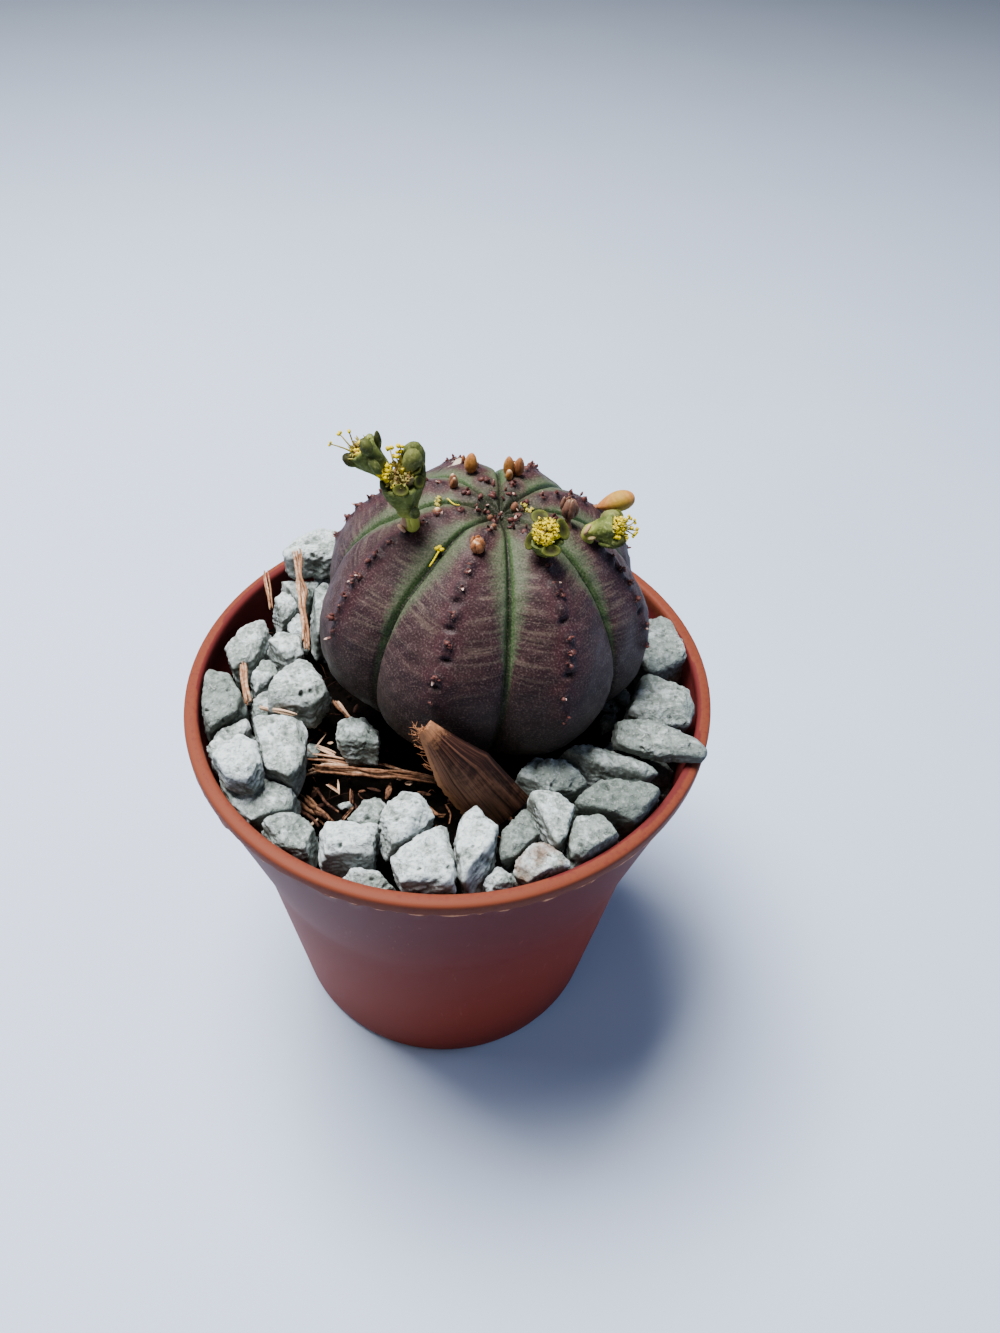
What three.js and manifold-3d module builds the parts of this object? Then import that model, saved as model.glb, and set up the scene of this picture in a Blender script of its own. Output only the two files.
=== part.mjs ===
// A baseball plant (Euphorbia obesa) in a 55 mm plastic nursery pot, topped with gravel.
// Millimetres, +Z up. The origin is the middle of the pot's underside.
import * as THREE from "three";
import { mergeVertices } from "three/addons/utils/BufferGeometryUtils.js";
import Module from "manifold-3d";

const wasm = await Module();
wasm.setup();

// ---------------------------------------------------------------- driving dimensions
const GAP = 0.3;
const DEG = Math.PI / 180;

// The pot: a thin moulded shell with a rolled rim, a flared collar and drain holes.
const POT = {
  height: 48.5,
  rimRadius: 27.5,
  beadRadius: 0.75,
  collarRadius: 27.2,
  kinkHeight: 28,
  kinkRadius: 22.7,
  baseRadius: 19.3,
  wall: 0.8,
  floor: 1.2,
  drainRadius: 1.9,
  drainRing: 12.5,
  drains: 5,
  sides: 52,
};
// The thin rim is squeezed a little out of round; the foot stays round.
const OVAL = { amount: 0.0156, along: 62.6 * DEG };
const SOIL = { level: 43.3, wave: 0.25, dip: 0.9, dipRadius: 9, sides: 44 };

// The plant: eight ribs round a slightly flattened globe that leans a little.
const PLANT = {
  middle: [2.8, 3.3, 54.6],
  radius: 17,
  up: 14.4,
  down: 11.7,
  lean: 4.7 * DEG,
  furrowDepth: 0.085,
  furrowSharpness: 1.6,
  dimpleDepth: 1.6,
  dimpleRadius: 3.7,
  rows: 20,
  columnsPerRib: 6,
};
const FURROWS = [-179, -129, -80.5, -32.5, 10.5, 53, 95.5, 138].map((a) => a * DEG);
const NECK = { at: [1.9, 3.3], radius: 4.6, foot: 35, top: 46 };
const TUBERCLE = { width: 0.42, height: 0.75, sunk: 0.35, first: 78, last: 4, step: 6 };

// ---------------------------------------------------------------- helpers
// A seeded random number in [0, 1), so that every build is the same.
function seeded(seed) {
  let state = seed * 2654435761;
  return () => {
    state = (Math.imul(state ^ (state >>> 15), 2246822519) + 0x9e3779b9) | 0;
    return ((state ^ (state >>> 13)) >>> 0) / 4294967296;
  };
}

// A three.js geometry as a manifold solid.
function solidOf(geometry) {
  const bare = geometry.clone();
  bare.deleteAttribute("normal");
  bare.deleteAttribute("uv");
  const merged = mergeVertices(bare, 1e-4);
  return new wasm.Manifold(
    new wasm.Mesh({
      numProp: 3,
      vertProperties: new Float32Array(merged.attributes.position.array),
      triVerts: new Uint32Array(merged.index.array),
    }),
  );
}

// A manifold solid as a three.js geometry.
function geometryOf(solid) {
  const mesh = solid.getMesh();
  return new THREE.BufferGeometry()
    .setAttribute("position", new THREE.BufferAttribute(mesh.vertProperties, 3))
    .setIndex(new THREE.BufferAttribute(mesh.triVerts, 1));
}

const joined = (solids) => solids.reduce((all, next) => all.add(next));
const vector = (list) => new THREE.Vector3(...list);

// A profile of [radius, height] pairs turned round the Z axis.
function turned(profile, sides) {
  const lathe = new THREE.LatheGeometry(
    profile.map(([r, z]) => new THREE.Vector2(r, z)),
    sides,
  );
  return lathe.rotateX(Math.PI / 2);
}

// Stands a geometry that grows along +Z on a point, pointing in a direction.
function aimed(geometry, at, direction) {
  const turn = new THREE.Quaternion().setFromUnitVectors(
    new THREE.Vector3(0, 0, 1),
    vector(direction).normalize(),
  );
  return geometry.applyQuaternion(turn).translate(...at);
}

// A tube of oval section along a smooth curve through points, thinner at its ends.
function strand(points, width, thickness, sides, steps) {
  const curve = new THREE.CatmullRomCurve3(points.map(vector));
  const section = new THREE.Shape(
    Array.from({ length: sides }, (_, i) => {
      const a = ((i + 0.5) / sides) * 2 * Math.PI;
      return new THREE.Vector2((Math.cos(a) * thickness) / 2, (Math.sin(a) * width) / 2);
    }),
  );
  return new THREE.ExtrudeGeometry(section, { steps, extrudePath: curve });
}

// ---------------------------------------------------------------- materials
const finish = (color, roughness) =>
  new THREE.MeshStandardMaterial({ color, roughness, metalness: 0 });
const TERRACOTTA_PLASTIC = finish(0xa3593f, 0.5);
const PEAT = finish(0x2c1d14, 1);
const SKIN = finish(0x5b4749, 0.75);
const CYATHIUM_GREEN = finish(0x6f7a32, 0.6);
const POLLEN_YELLOW = finish(0xe2d244, 0.8);
const BUD_ORANGE = finish(0xb0692f, 0.7);
const DRY_HUSK = finish(0x5b4036, 0.8);
const COIR = finish(0x8a6242, 0.9);
const ZEOLITE = finish(0xc3cac6, 0.95);

const part = new THREE.Group();
const solids = new Map();

// Puts a solid into the part as a mesh whose own origin is at `at`.
function place(name, solid, material, at = [0, 0, 0]) {
  const geometry = geometryOf(solid).translate(-at[0], -at[1], -at[2]);
  geometry.computeVertexNormals();
  const mesh = new THREE.Mesh(geometry, material);
  mesh.name = name;
  mesh.position.set(...at);
  part.add(mesh);
  solids.set(name, solid);
}

// ---------------------------------------------------------------- pot
// The outside wall's radius at a height: straight from foot to kink, then flaring.
function potRadius(z) {
  const { kinkHeight, kinkRadius, baseRadius, collarRadius, height, beadRadius } = POT;
  if (z < kinkHeight) return baseRadius + ((kinkRadius - baseRadius) * z) / kinkHeight;
  const collarTop = height - 2 * beadRadius;
  return kinkRadius + ((collarRadius - kinkRadius) * (z - kinkHeight)) / (collarTop - kinkHeight);
}

// How far the oval stretches a radius at an angle and a height.
const ovalAt = (angle, z) =>
  1 + (OVAL.amount * (z / POT.height)) * Math.cos(2 * (angle - OVAL.along));

// Squeezes a turned shape out of round.
function squeezed(geometry) {
  const place = geometry.attributes.position;
  for (let i = 0; i < place.count; i++) {
    const [x, y, z] = [place.getX(i), place.getY(i), place.getZ(i)];
    const stretch = ovalAt(Math.atan2(y, x), z);
    place.setXY(i, x * stretch, y * stretch);
  }
  return geometry;
}

function makePot() {
  const { height, rimRadius, beadRadius, wall, floor, kinkHeight, baseRadius, sides } = POT;
  const beadMiddle = [rimRadius - beadRadius, height - beadRadius];
  const bead = [-60, -15, 30, 65, 100, 140, 185, 235].map((a) => [
    beadMiddle[0] + beadRadius * Math.cos(a * DEG),
    beadMiddle[1] + beadRadius * Math.sin(a * DEG),
  ]);
  const shell = turned(
    [
      [0, 0],
      [baseRadius - 0.6, 0],
      [potRadius(0.6), 0.6],
      [potRadius(kinkHeight), kinkHeight],
      [potRadius(kinkHeight + 1), kinkHeight + 1],
      ...bead,
      [potRadius(height - 4) - wall, height - 4],
      [potRadius(kinkHeight) - wall, kinkHeight],
      [potRadius(floor) - wall, floor],
      [0, floor],
    ],
    sides,
  );
  const drains = Array.from({ length: POT.drains }, (_, i) => {
    const a = (i / POT.drains) * 2 * Math.PI;
    const hole = new THREE.CylinderGeometry(POT.drainRadius, POT.drainRadius, 4 * floor, 12);
    hole.rotateX(Math.PI / 2);
    hole.translate(POT.drainRing * Math.cos(a), POT.drainRing * Math.sin(a), floor / 2);
    return solidOf(hole);
  });
  return drains.reduce((pot, hole) => pot.subtract(hole), solidOf(squeezed(shell)));
}

// ---------------------------------------------------------------- soil
// The height of the soil's top: low waves about its level, and a dip round the root neck.
function soilHeight(x, y) {
  const { level, wave, dip, dipRadius } = SOIL;
  const waves = wave * (Math.sin(0.42 * x + 1.1) + Math.cos(0.37 * y - 0.25 * x));
  const away = Math.hypot(x - NECK.at[0], y - NECK.at[1]) / dipRadius;
  return level + waves - dip * Math.exp(-away * away);
}

function makeSoil() {
  const wallAt = (z) => potRadius(z) - POT.wall - GAP;
  const bottom = POT.floor + GAP;
  const rings = [24.2, 21, 17, 13, 9, 5];
  const plug = turned(
    [
      [0, bottom],
      [wallAt(bottom) - 0.1, bottom],
      [wallAt(POT.kinkHeight) - 0.1, POT.kinkHeight],
      [wallAt(SOIL.level - 1) - 0.05, SOIL.level - 1],
      ...rings.map((r) => [r, SOIL.level]),
      [0, SOIL.level],
    ],
    SOIL.sides,
  );
  squeezed(plug);
  const points = plug.attributes.position;
  for (let i = 0; i < points.count; i++) {
    if (points.getZ(i) > SOIL.level - 0.5)
      points.setZ(i, soilHeight(points.getX(i), points.getY(i)));
  }
  const depth = 2 * (SOIL.level - NECK.foot);
  const hole = new THREE.CylinderGeometry(NECK.radius + GAP, NECK.radius + GAP, depth, 20);
  hole.rotateX(Math.PI / 2).translate(...NECK.at, NECK.foot - GAP + depth / 2);
  return solidOf(plug).subtract(solidOf(hole));
}

// ---------------------------------------------------------------- plant
// How deep a direction lies in a furrow: 1 in the furrow, 0 on the crest of a rib.
function furrowAt(angle) {
  const apart = FURROWS.map((f) => {
    const turn = (angle - f) / (2 * Math.PI);
    return Math.abs(turn - Math.round(turn)) * 2 * Math.PI;
  });
  const nearest = Math.min(1, Math.min(...apart) / (Math.PI / 8));
  return Math.pow(1 - nearest, PLANT.furrowSharpness);
}

// The skin's point at a latitude and a longitude: a globe with furrows and a sunken crown.
function skinPoint(latitude, longitude) {
  const { middle, radius, up, down, lean, furrowDepth, dimpleDepth, dimpleRadius } = PLANT;
  const ring = radius * Math.cos(latitude);
  let z = Math.sin(latitude) * (latitude > 0 ? up : down);
  if (latitude > 0) z -= dimpleDepth * Math.exp(-Math.pow(ring / dimpleRadius, 2));
  const r = ring * (1 - furrowDepth * furrowAt(longitude));
  return new THREE.Vector3(r * Math.cos(longitude), r * Math.sin(longitude), z)
    .applyAxisAngle(new THREE.Vector3(0, 1, 0), lean)
    .add(vector(middle));
}

// The longitudes of the rib crests, each midway between two furrows.
const CRESTS = FURROWS.map((f, i) => {
  const next = i + 1 < FURROWS.length ? FURROWS[i + 1] : FURROWS[0] + 2 * Math.PI;
  return (f + next) / 2;
});

function makeGlobe() {
  const { rows, columnsPerRib } = PLANT;
  const columns = [];
  FURROWS.forEach((f, i) => {
    for (let k = 0; k < columnsPerRib; k++)
      columns.push(f + ((CRESTS[i] - f) * 2 * k) / columnsPerRib);
  });
  const points = [];
  for (let i = 1; i < rows; i++) {
    const latitude = (i / rows - 0.5) * Math.PI;
    columns.forEach((longitude) => points.push(skinPoint(latitude, longitude)));
  }
  const south = points.push(skinPoint(-Math.PI / 2, 0)) - 1;
  const north = points.push(skinPoint(Math.PI / 2, 0)) - 1;
  const faces = [];
  const n = columns.length;
  for (let c = 0; c < n; c++) {
    const d = (c + 1) % n;
    faces.push(south, d, c);
    for (let i = 0; i < rows - 2; i++) {
      const low = i * n;
      const high = low + n;
      faces.push(low + c, low + d, high + d, low + c, high + d, high + c);
    }
    const last = (rows - 2) * n;
    faces.push(north, last + c, last + d);
  }
  const globe = new THREE.BufferGeometry().setFromPoints(points);
  globe.setIndex(faces);
  return solidOf(globe);
}

// The outward direction of the skin, from two short steps across it.
function skinNormal(latitude, longitude) {
  const step = 0.02;
  const here = skinPoint(latitude, longitude);
  const east = skinPoint(latitude, longitude + step).sub(skinPoint(latitude, longitude - step));
  const north = skinPoint(latitude + step, longitude).sub(here);
  return east.cross(north).normalize();
}

// Tubercles run down each crest; each is a small blunt three-sided cone.
function makeTubercles() {
  const { width, height, sunk, first, last, step } = TUBERCLE;
  const random = seeded(7);
  const cones = [];
  CRESTS.forEach((crest) => {
    for (let degrees = first; degrees >= last; degrees -= step) {
      const latitude = (degrees + 2 * (random() - 0.5)) * DEG;
      const longitude = crest + (0.05 * (random() - 0.5)) / Math.cos(latitude);
      const size = 0.8 + 0.5 * random();
      const cone = new THREE.CylinderGeometry(width * 0.45 * size, width * 1.25 * size, height, 3);
      cone.rotateX(Math.PI / 2).translate(0, 0, height / 2 - sunk);
      const normal = skinNormal(latitude, longitude);
      aimed(cone, skinPoint(latitude, longitude).toArray(), normal.toArray());
      cones.push(solidOf(cone));
    }
  });
  return cones;
}

function makePlant() {
  const { at, radius, foot, top } = NECK;
  const neck = turned(
    [
      [0, foot],
      [radius * 0.5, foot],
      [radius * 0.85, foot + 3],
      [radius, SOIL.level],
      [radius, top],
      [0, top],
    ],
    16,
  ).translate(...at, 0);
  return wasm.Manifold.union([makeGlobe(), solidOf(neck), ...makeTubercles()]);
}

// ---------------------------------------------------------------- blooms
// A cyathium is a small green cup with a well for its stamens and fleshy glands on its rim.
function cup(at, direction, length, width) {
  const profile = [
    [0, 0],
    [width * 0.22, 0],
    [width * 0.3, length * 0.4],
    [width * 0.46, length * 0.75],
    [width * 0.5, length],
    [width * 0.36, length],
    [width * 0.34, length - 0.9],
    [0, length - 0.9],
  ];
  return solidOf(aimed(turned(profile, 10), at, direction));
}

// Glands stand round the rim of a cup, each an oval pad that leans outwards.
function glands(at, direction, length, width, angles, size) {
  return angles.map((degrees) => {
    const pad = new THREE.SphereGeometry(1, 6, 4);
    pad.scale(size * 0.62, size * 0.36, size * 0.36);
    pad.rotateZ(Math.PI / 2);
    pad.rotateY(25 * DEG);
    pad.translate(width * 0.5 + size * 0.12, 0, length - size * 0.12);
    pad.rotateZ(degrees * DEG);
    return solidOf(aimed(pad, at, direction));
  });
}

// Stamens stand on a small core, each a thin stalk with a lump of pollen on its end.
function stamens(at, direction, length, width, count, reach, seed) {
  const random = seeded(seed);
  const core = turned(
    [
      [0, length - 0.9 + GAP],
      [width * 0.34 - GAP, length - 0.9 + GAP],
      [width * 0.3, length + 0.15],
      [0, length + 0.5],
    ],
    8,
  );
  const pieces = [solidOf(aimed(core, at, direction))];
  for (let i = 0; i < count; i++) {
    const round = (i / count) * 2 * Math.PI + 0.4 * random();
    const out = i % 2 ? 0.75 : 0.3;
    const tall = reach * (0.7 + 0.5 * random());
    const stalk = new THREE.CylinderGeometry(0.15, 0.24, tall, 3);
    stalk.rotateX(Math.PI / 2).translate(0, 0, tall / 2 - 0.3);
    const lump = new THREE.OctahedronGeometry(0.34);
    lump.translate(0, 0, tall - 0.3);
    const tilt = out * 0.75;
    [stalk, lump].forEach((piece) => {
      piece.rotateY(tilt);
      piece.translate(width * 0.22 * out, 0, length);
      piece.rotateZ(round);
      pieces.push(solidOf(aimed(piece, at, direction)));
    });
  }
  return wasm.Manifold.union(pieces);
}

// A closed bud or a seed capsule: an oval body that narrows to its tip.
function bud(at, direction, length, width, sides = 10) {
  const profile = [
    [0, 0],
    [width * 0.3, 0],
    [width * 0.5, length * 0.35],
    [width * 0.45, length * 0.65],
    [width * 0.22, length * 0.92],
    [0, length],
  ];
  return solidOf(aimed(turned(profile, sides), at, direction));
}

// Where each bloom grows: the rib's number, the latitude on its crest, and the cup's offset.
const CYATHIA = {
  left_low: { rib: 0, latitude: 59, offset: [-0.6, -0.3, 2.7], to: [-0.06, -0.16, 1], length: 3.4, width: 3.1 },
  left_high: { rib: 0, latitude: 59, offset: [-1.6, -0.2, 4.7], to: [-0.7, 0.2, 0.8], length: 3.9, width: 2.6 },
  front: { rib: 2, latitude: 68, offset: [1, 0.1, 1], to: [-0.05, -0.62, 0.8], length: 2, width: 2.7 },
  right: { rib: 3, latitude: 60, offset: [0.5, 0.1, 1.15], to: [1, -0.1, 0.06], length: 2.5, width: 2.8 },
};

// A spot on a rib's crest, moved by an offset.
function onRib({ rib, latitude, offset = [0, 0, 0] }) {
  return skinPoint(latitude * DEG, CRESTS[rib]).add(vector(offset)).toArray();
}

function addBlooms() {
  const spots = Object.entries(CYATHIA).map(([name, c]) => [name, { ...c, at: onRib(c) }]);
  const { left_low: low, left_high: high, front, right } = Object.fromEntries(spots);
  const cupOf = (c, angles, size) => [
    cup(c.at, c.to, c.length, c.width),
    ...glands(c.at, c.to, c.length, c.width, angles, size),
  ];
  const beside = (c, offset) => onRib({ ...c, offset });
  const foot = beside(low, [0, 0, 0.5]);
  const fork = beside(low, [-0.5, -0.2, 1.9]);
  const inLow = beside(low, [-0.62, -0.35, 3.6]);
  const inHigh = beside(low, [-2.3, 0, 5.1]);
  place(
    "cyathia_left",
    joined([
      solidOf(strand([foot, beside(low, [-0.3, -0.1, 1.2]), fork, inLow], 1.4, 1.4, 8, 4)),
      solidOf(strand([fork, beside(low, [-0.9, -0.2, 3]), high.at, inHigh], 1.5, 1.5, 8, 4)),
      bud(beside(low, [0.35, -0.2, 0.8]), [0.12, -0.1, 1], 2.6, 1),
      ...cupOf(low, [-100, -35, 60, 110], 1.75),
      ...cupOf(high, [20, 95, 165, 265], 1.5),
    ]),
    CYATHIUM_GREEN,
    low.at,
  );
  place(
    "cyathium_front",
    joined([
      bud(beside(front, [0.8, 0.55, 0.55]), [0, -0.5, 1], 1.5, 1.7),
      ...cupOf(front, [20, 95, 170, 245, 310], 1.5),
    ]),
    CYATHIUM_GREEN,
    front.at,
  );
  place(
    "cyathium_right",
    joined([
      bud(beside(right, [-0.4, 0, 1.3]), [1, 0, 0.1], 2, 1.9),
      ...cupOf(right, [70, 150, 215, 300], 1.4),
    ]),
    CYATHIUM_GREEN,
    right.at,
  );
  const stamensOf = (c, count, reach, seed) =>
    stamens(c.at, c.to, c.length, c.width, count, reach, seed);
  place("stamens_left_low", stamensOf(low, 8, 1.5, 21), POLLEN_YELLOW, low.at);
  place("stamens_left_high", stamensOf(high, 6, 2.4, 22), POLLEN_YELLOW, high.at);
  place("stamens_front", stamensOf(front, 9, 0.9, 23), POLLEN_YELLOW, front.at);
  place("stamens_right", stamensOf(right, 8, 1.3, 24), POLLEN_YELLOW, right.at);
}

// Buds stand just clear of the skin: rib, latitude, offset, direction, length, width.
const BUDS = {
  bud_back_left: [6, 70, [-0.7, 0, 0.4], [0, 0.05, 1], 1.9, 1.2],
  bud_front: [1, 66, [0, -0.1, 0.45], [0, -0.15, 1], 1.5, 1.25],
  bud_dry: [3, 67, [0, 0.6, 0.45], [0.1, 0.05, 1], 2, 1.6],
  capsule_right: [4, 50, [0.75, 0, 0.3], [0.9, 0.05, 0.4], 3.9, 1.8],
};

function addBuds() {
  Object.entries(BUDS).forEach(([name, [rib, latitude, offset, to, length, width]]) => {
    const at = onRib({ rib, latitude, offset });
    place(name, bud(at, to, length, width), BUD_ORANGE, at);
  });
  const middle = onRib({ rib: 5, latitude: 70.5, offset: [-0.7, 0, 0.4] });
  const near = (x, y, z) => [middle[0] + x, middle[1] + y, middle[2] + z];
  const group = [
    bud(near(-0.4, 0, 0.05), [-0.06, 0, 1], 1.9, 1.05),
    bud(near(0.35, 0.1, 0), [0.1, 0, 1], 1.8, 1),
    bud(near(-0.3, -0.45, 0.15), [-0.05, -0.2, 1], 1.1, 0.9),
  ];
  place("buds_back", joined(group), BUD_ORANGE, middle);
}

// ---------------------------------------------------------------- dry husk
// A scooped strip: its section is an arc that bows towards the front, pointed at the top.
function makeHusk() {
  const top = new THREE.Vector3(-1.6, -14.9, 57.6);
  const foot = new THREE.Vector3(5.6, -15, 44.6);
  const along = foot.clone().sub(top);
  const axis = along.clone().normalize();
  const face = new THREE.Vector3(0.34, -0.91, 0.22).normalize();
  const across = face.clone().cross(axis).normalize();
  const halfWidth = (t, side) =>
    (side > 0 ? 3.4 : 2.3) * Math.min(1, 0.35 + 1.4 * t) * (1 - Math.max(0, t - 0.7));
  const rows = 10;
  const columns = 6;
  const thickness = 0.6;
  const points = [];
  for (const side of [1, 0]) {
    for (let i = 0; i <= rows; i++) {
      const t = i / rows;
      for (let k = 0; k <= columns; k++) {
        const s = (k / columns) * 2 - 1;
        const bow = 1.1 * (1 - s * s) * Math.sin(Math.PI * (0.15 + 0.7 * t)) + 0.5 * Math.sin(Math.PI * t);
        points.push(
          top
            .clone()
            .addScaledVector(along, t)
            .addScaledVector(across, s * halfWidth(t, s))
            .addScaledVector(face, bow + side * thickness),
        );
      }
    }
  }
  const row = columns + 1;
  const back = row * (rows + 1);
  const faces = [];
  const quad = (a, b, c, d) => faces.push(a, b, c, a, c, d);
  for (let i = 0; i < rows; i++) {
    for (let k = 0; k < columns; k++) {
      const a = i * row + k;
      quad(a, a + row, a + row + 1, a + 1);
      quad(back + a, back + a + 1, back + a + row + 1, back + a + row);
    }
    const left = i * row;
    const right = left + columns;
    quad(left, back + left, back + left + row, left + row);
    quad(right, right + row, back + right + row, back + right);
  }
  for (let k = 0; k < columns; k++) {
    const last = rows * row + k;
    quad(k, k + 1, back + k + 1, back + k);
    quad(last, back + last, back + last + 1, last + 1);
  }
  const strip = new THREE.BufferGeometry().setFromPoints(points);
  strip.setIndex(faces);
  return solidOf(strip);
}

// ---------------------------------------------------------------- fibres
const FIBRES = {
  fibre_upright: [[[-18.4, 12, 53.7], [-17.4, 8, 51.9], [-16.2, 3.6, 50.8], [-15.4, 0.4, 50.3]], 0.7],
  fibre_rim: [[[-22.6, 13, 49.6], [-21.8, 10.5, 49.4], [-20.9, 7.6, 48.9]], 0.7],
  fibre_left: [[[-21.9, -0.9, 48.9], [-21.3, -2.8, 48.2], [-20.6, -4.9, 47.4]], 0.8],
  fibre_bundle: [[[-12.9, -10.8, 45.2], [-8.4, -10.8, 44.9], [-4.6, -10.8, 44.9], [-0.6, -11, 44.9]], 1.1],
};

// ---------------------------------------------------------------- gravel
// Each stone: its underside (null where it lies on the soil), its top, and its corners from above.
const STONES = [
  [null, 49, [[-25.7, -1.2], [-22.8, -2.2], [-20.5, -5.4], [-20.8, -7.1], [-23.2, -9.8], [-25.4, -6.1]]],
  [null, 48.6, [[-24.5, 2.1], [-23.1, 5.8], [-21.6, 6.7], [-20.4, 4.7], [-20.9, 0.6], [-23, -0.8]]],
  [null, 47.2, [[-21.8, -0.5], [-21.3, 2], [-19.3, 2], [-18.6, -0.4], [-20.2, -3]]],
  [null, 49.4, [[-20.5, 2.2], [-19.7, 4], [-16.7, 4], [-16.1, 1.1], [-18.2, -0.2]]],
  [45.4, 50.4, [[-18.7, -5.5], [-17.6, -2.1], [-16, -0.6], [-14.1, -1.4], [-12.2, -4.2], [-13.5, -6.7], [-17.7, -6.9]]],
  [null, 47.6, [[-20.8, -5.2], [-19.6, -3], [-18.3, -3], [-17.9, -6.1], [-20.1, -6.8]]],
  [null, 47.3, [[-23.7, -11.1], [-22.5, -7.8], [-20.5, -6.4], [-19.5, -7.9], [-20.7, -11], [-22.5, -12.2]]],
  [47.9, 51.6, [[-21.5, -16.5], [-21.4, -14.6], [-18.9, -12], [-17.1, -13.3], [-16.3, -15.6], [-17.1, -17.5], [-19.7, -17.2]]],
  [45, 50.4, [[-19.1, -10.1], [-18.3, -8.8], [-14.3, -8.6], [-13.4, -10.5], [-13.2, -14.1], [-14.1, -16.6], [-16.7, -15.6]]],
  [null, 48, [[-21.4, -15.1], [-20.1, -13.7], [-13.4, -14.9], [-13.6, -17.7], [-16.7, -19.2], [-20.6, -17.3]]],
  [null, 48.4, [[-16, -19.8], [-14.5, -18.3], [-12.1, -18.6], [-10.4, -20.6], [-10.7, -22.7], [-13.9, -22]]],
  [null, 49.2, [[-10.4, -21.2], [-9.9, -19.5], [-5, -19.3], [-5, -22.7], [-9.7, -23.1]]],
  [null, 47.8, [[-7.8, -24.6], [-6.9, -23.3], [-4.2, -23.7], [-2.8, -24.8], [-5.2, -25.4]]],
  [45.2, 50.6, [[-5, -20.1], [-4.6, -18.5], [-2.8, -16.7], [-1.3, -17.1], [-0.2, -18.8], [-2.4, -21.6], [-3.9, -22.4]]],
  [null, 47.8, [[-8.2, -18.1], [-7.1, -16.1], [-5.5, -15.7], [-4.6, -16.8], [-5.1, -18.8]]],
  [44.8, 49.9, [[-3.4, -23.4], [-2.3, -21.3], [-0.2, -19.6], [1.1, -19.6], [2.8, -23.4], [2.5, -25.7], [-2.1, -25.8]]],
  [null, 50.2, [[1.8, -22.5], [2.2, -19.3], [3.9, -17.3], [6.2, -19.9], [6, -22.7], [4, -25.6], [2.7, -24.6]]],
  [null, 49.2, [[6, -19], [7.7, -16.6], [9.1, -17.2], [9.9, -19.6], [8.2, -21.6], [6.5, -21.8]]],
  [null, 48, [[5, -23.8], [6.2, -22.2], [7.3, -22.9], [7.4, -24.3], [5.7, -25]]],
  [null, 49.2, [[7.7, -23.3], [8.1, -20.8], [10.2, -20.1], [12, -21.3], [12.2, -22.9], [9.8, -24.2]]],
  [45.4, 50.2, [[8.2, -16.4], [8.6, -15.2], [11, -15], [13, -16.7], [12.5, -19.5], [11.4, -20.8], [9.7, -19.2]]],
  [null, 49.6, [[12, -19.4], [13.1, -17.1], [15.5, -16.6], [17.6, -19.2], [15.1, -21.4], [12.7, -21.8]]],
  [null, 50.1, [[12.6, -15.3], [14.2, -13.5], [16.1, -12.5], [20.1, -12.6], [21.5, -14.2], [20, -16.3], [17, -17.4], [13.8, -16.7]]],
  [44.6, 49.7, [[11.1, -10.2], [11.8, -8.9], [15.4, -8.4], [18.6, -9.3], [20.6, -11.2], [19.2, -12.2], [13.9, -11.7]]],
  [null, 49.3, [[6.8, -13.2], [8.4, -10.5], [11.5, -10.2], [14, -12.8], [12.6, -13.6], [8.7, -13.9]]],
  [46.6, 50.8, [[16.6, -8.7], [16.6, -6.1], [20.2, -5.5], [24.4, -7.4], [26, -9.2], [25.4, -10.2], [19, -9.8]], true],
  [null, 50, [[18.6, -1.4], [19.2, 0.9], [21.2, 1.6], [24.8, -0.2], [25.2, -1.8], [24.1, -4.7], [19.9, -5.2], [17.8, -4.1]]],
  [null, 49.9, [[19.5, 4.1], [19.9, 9.3], [22.2, 11], [23.6, 10], [24.9, 4.9], [22.8, 3.2], [20.6, 2.4]]],
  [null, 48.4, [[-11, -8.4], [-11, -7.1], [-8.4, -6.4], [-6.8, -7.8], [-6.6, -9.6], [-10, -9.8]]],
  [null, 48.9, [[-21.2, 9.4], [-20.4, 11.6], [-18.2, 10.5], [-18.1, 8.1], [-19.6, 6.6]]],
  [null, 49.4, [[-17.4, 10.5], [-16.8, 12.8], [-15, 12.6], [-14.1, 5.8], [-15.2, 4], [-16.4, 6]]],
  [48.6, 53, [[-20.4, 13.3], [-19.6, 15.2], [-16.6, 18], [-13.5, 17.7], [-13.4, 13.8], [-15.5, 12.7], [-19.5, 12.1]]],
  [null, 48.2, [[-19.1, 7.1], [-18, 9.1], [-16.8, 7.1], [-16.5, 4.9], [-18, 5]]],
];
// Gravel behind the plant: a row of stones round the pot by a rule.
const BACK_ROW = { from: 40, to: 150, count: 7, radius: 21.4, size: 3 };

const WALL_REACH = POT.rimRadius - 2 * POT.beadRadius - GAP;
const RIM_SLOPE = 0.12;
const COLLAR_SLOPE = potRadius(POT.kinkHeight + 1) - potRadius(POT.kinkHeight);
const CHAMFER = 0.5;
const RIM_REST = POT.height + 0.5;

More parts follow.
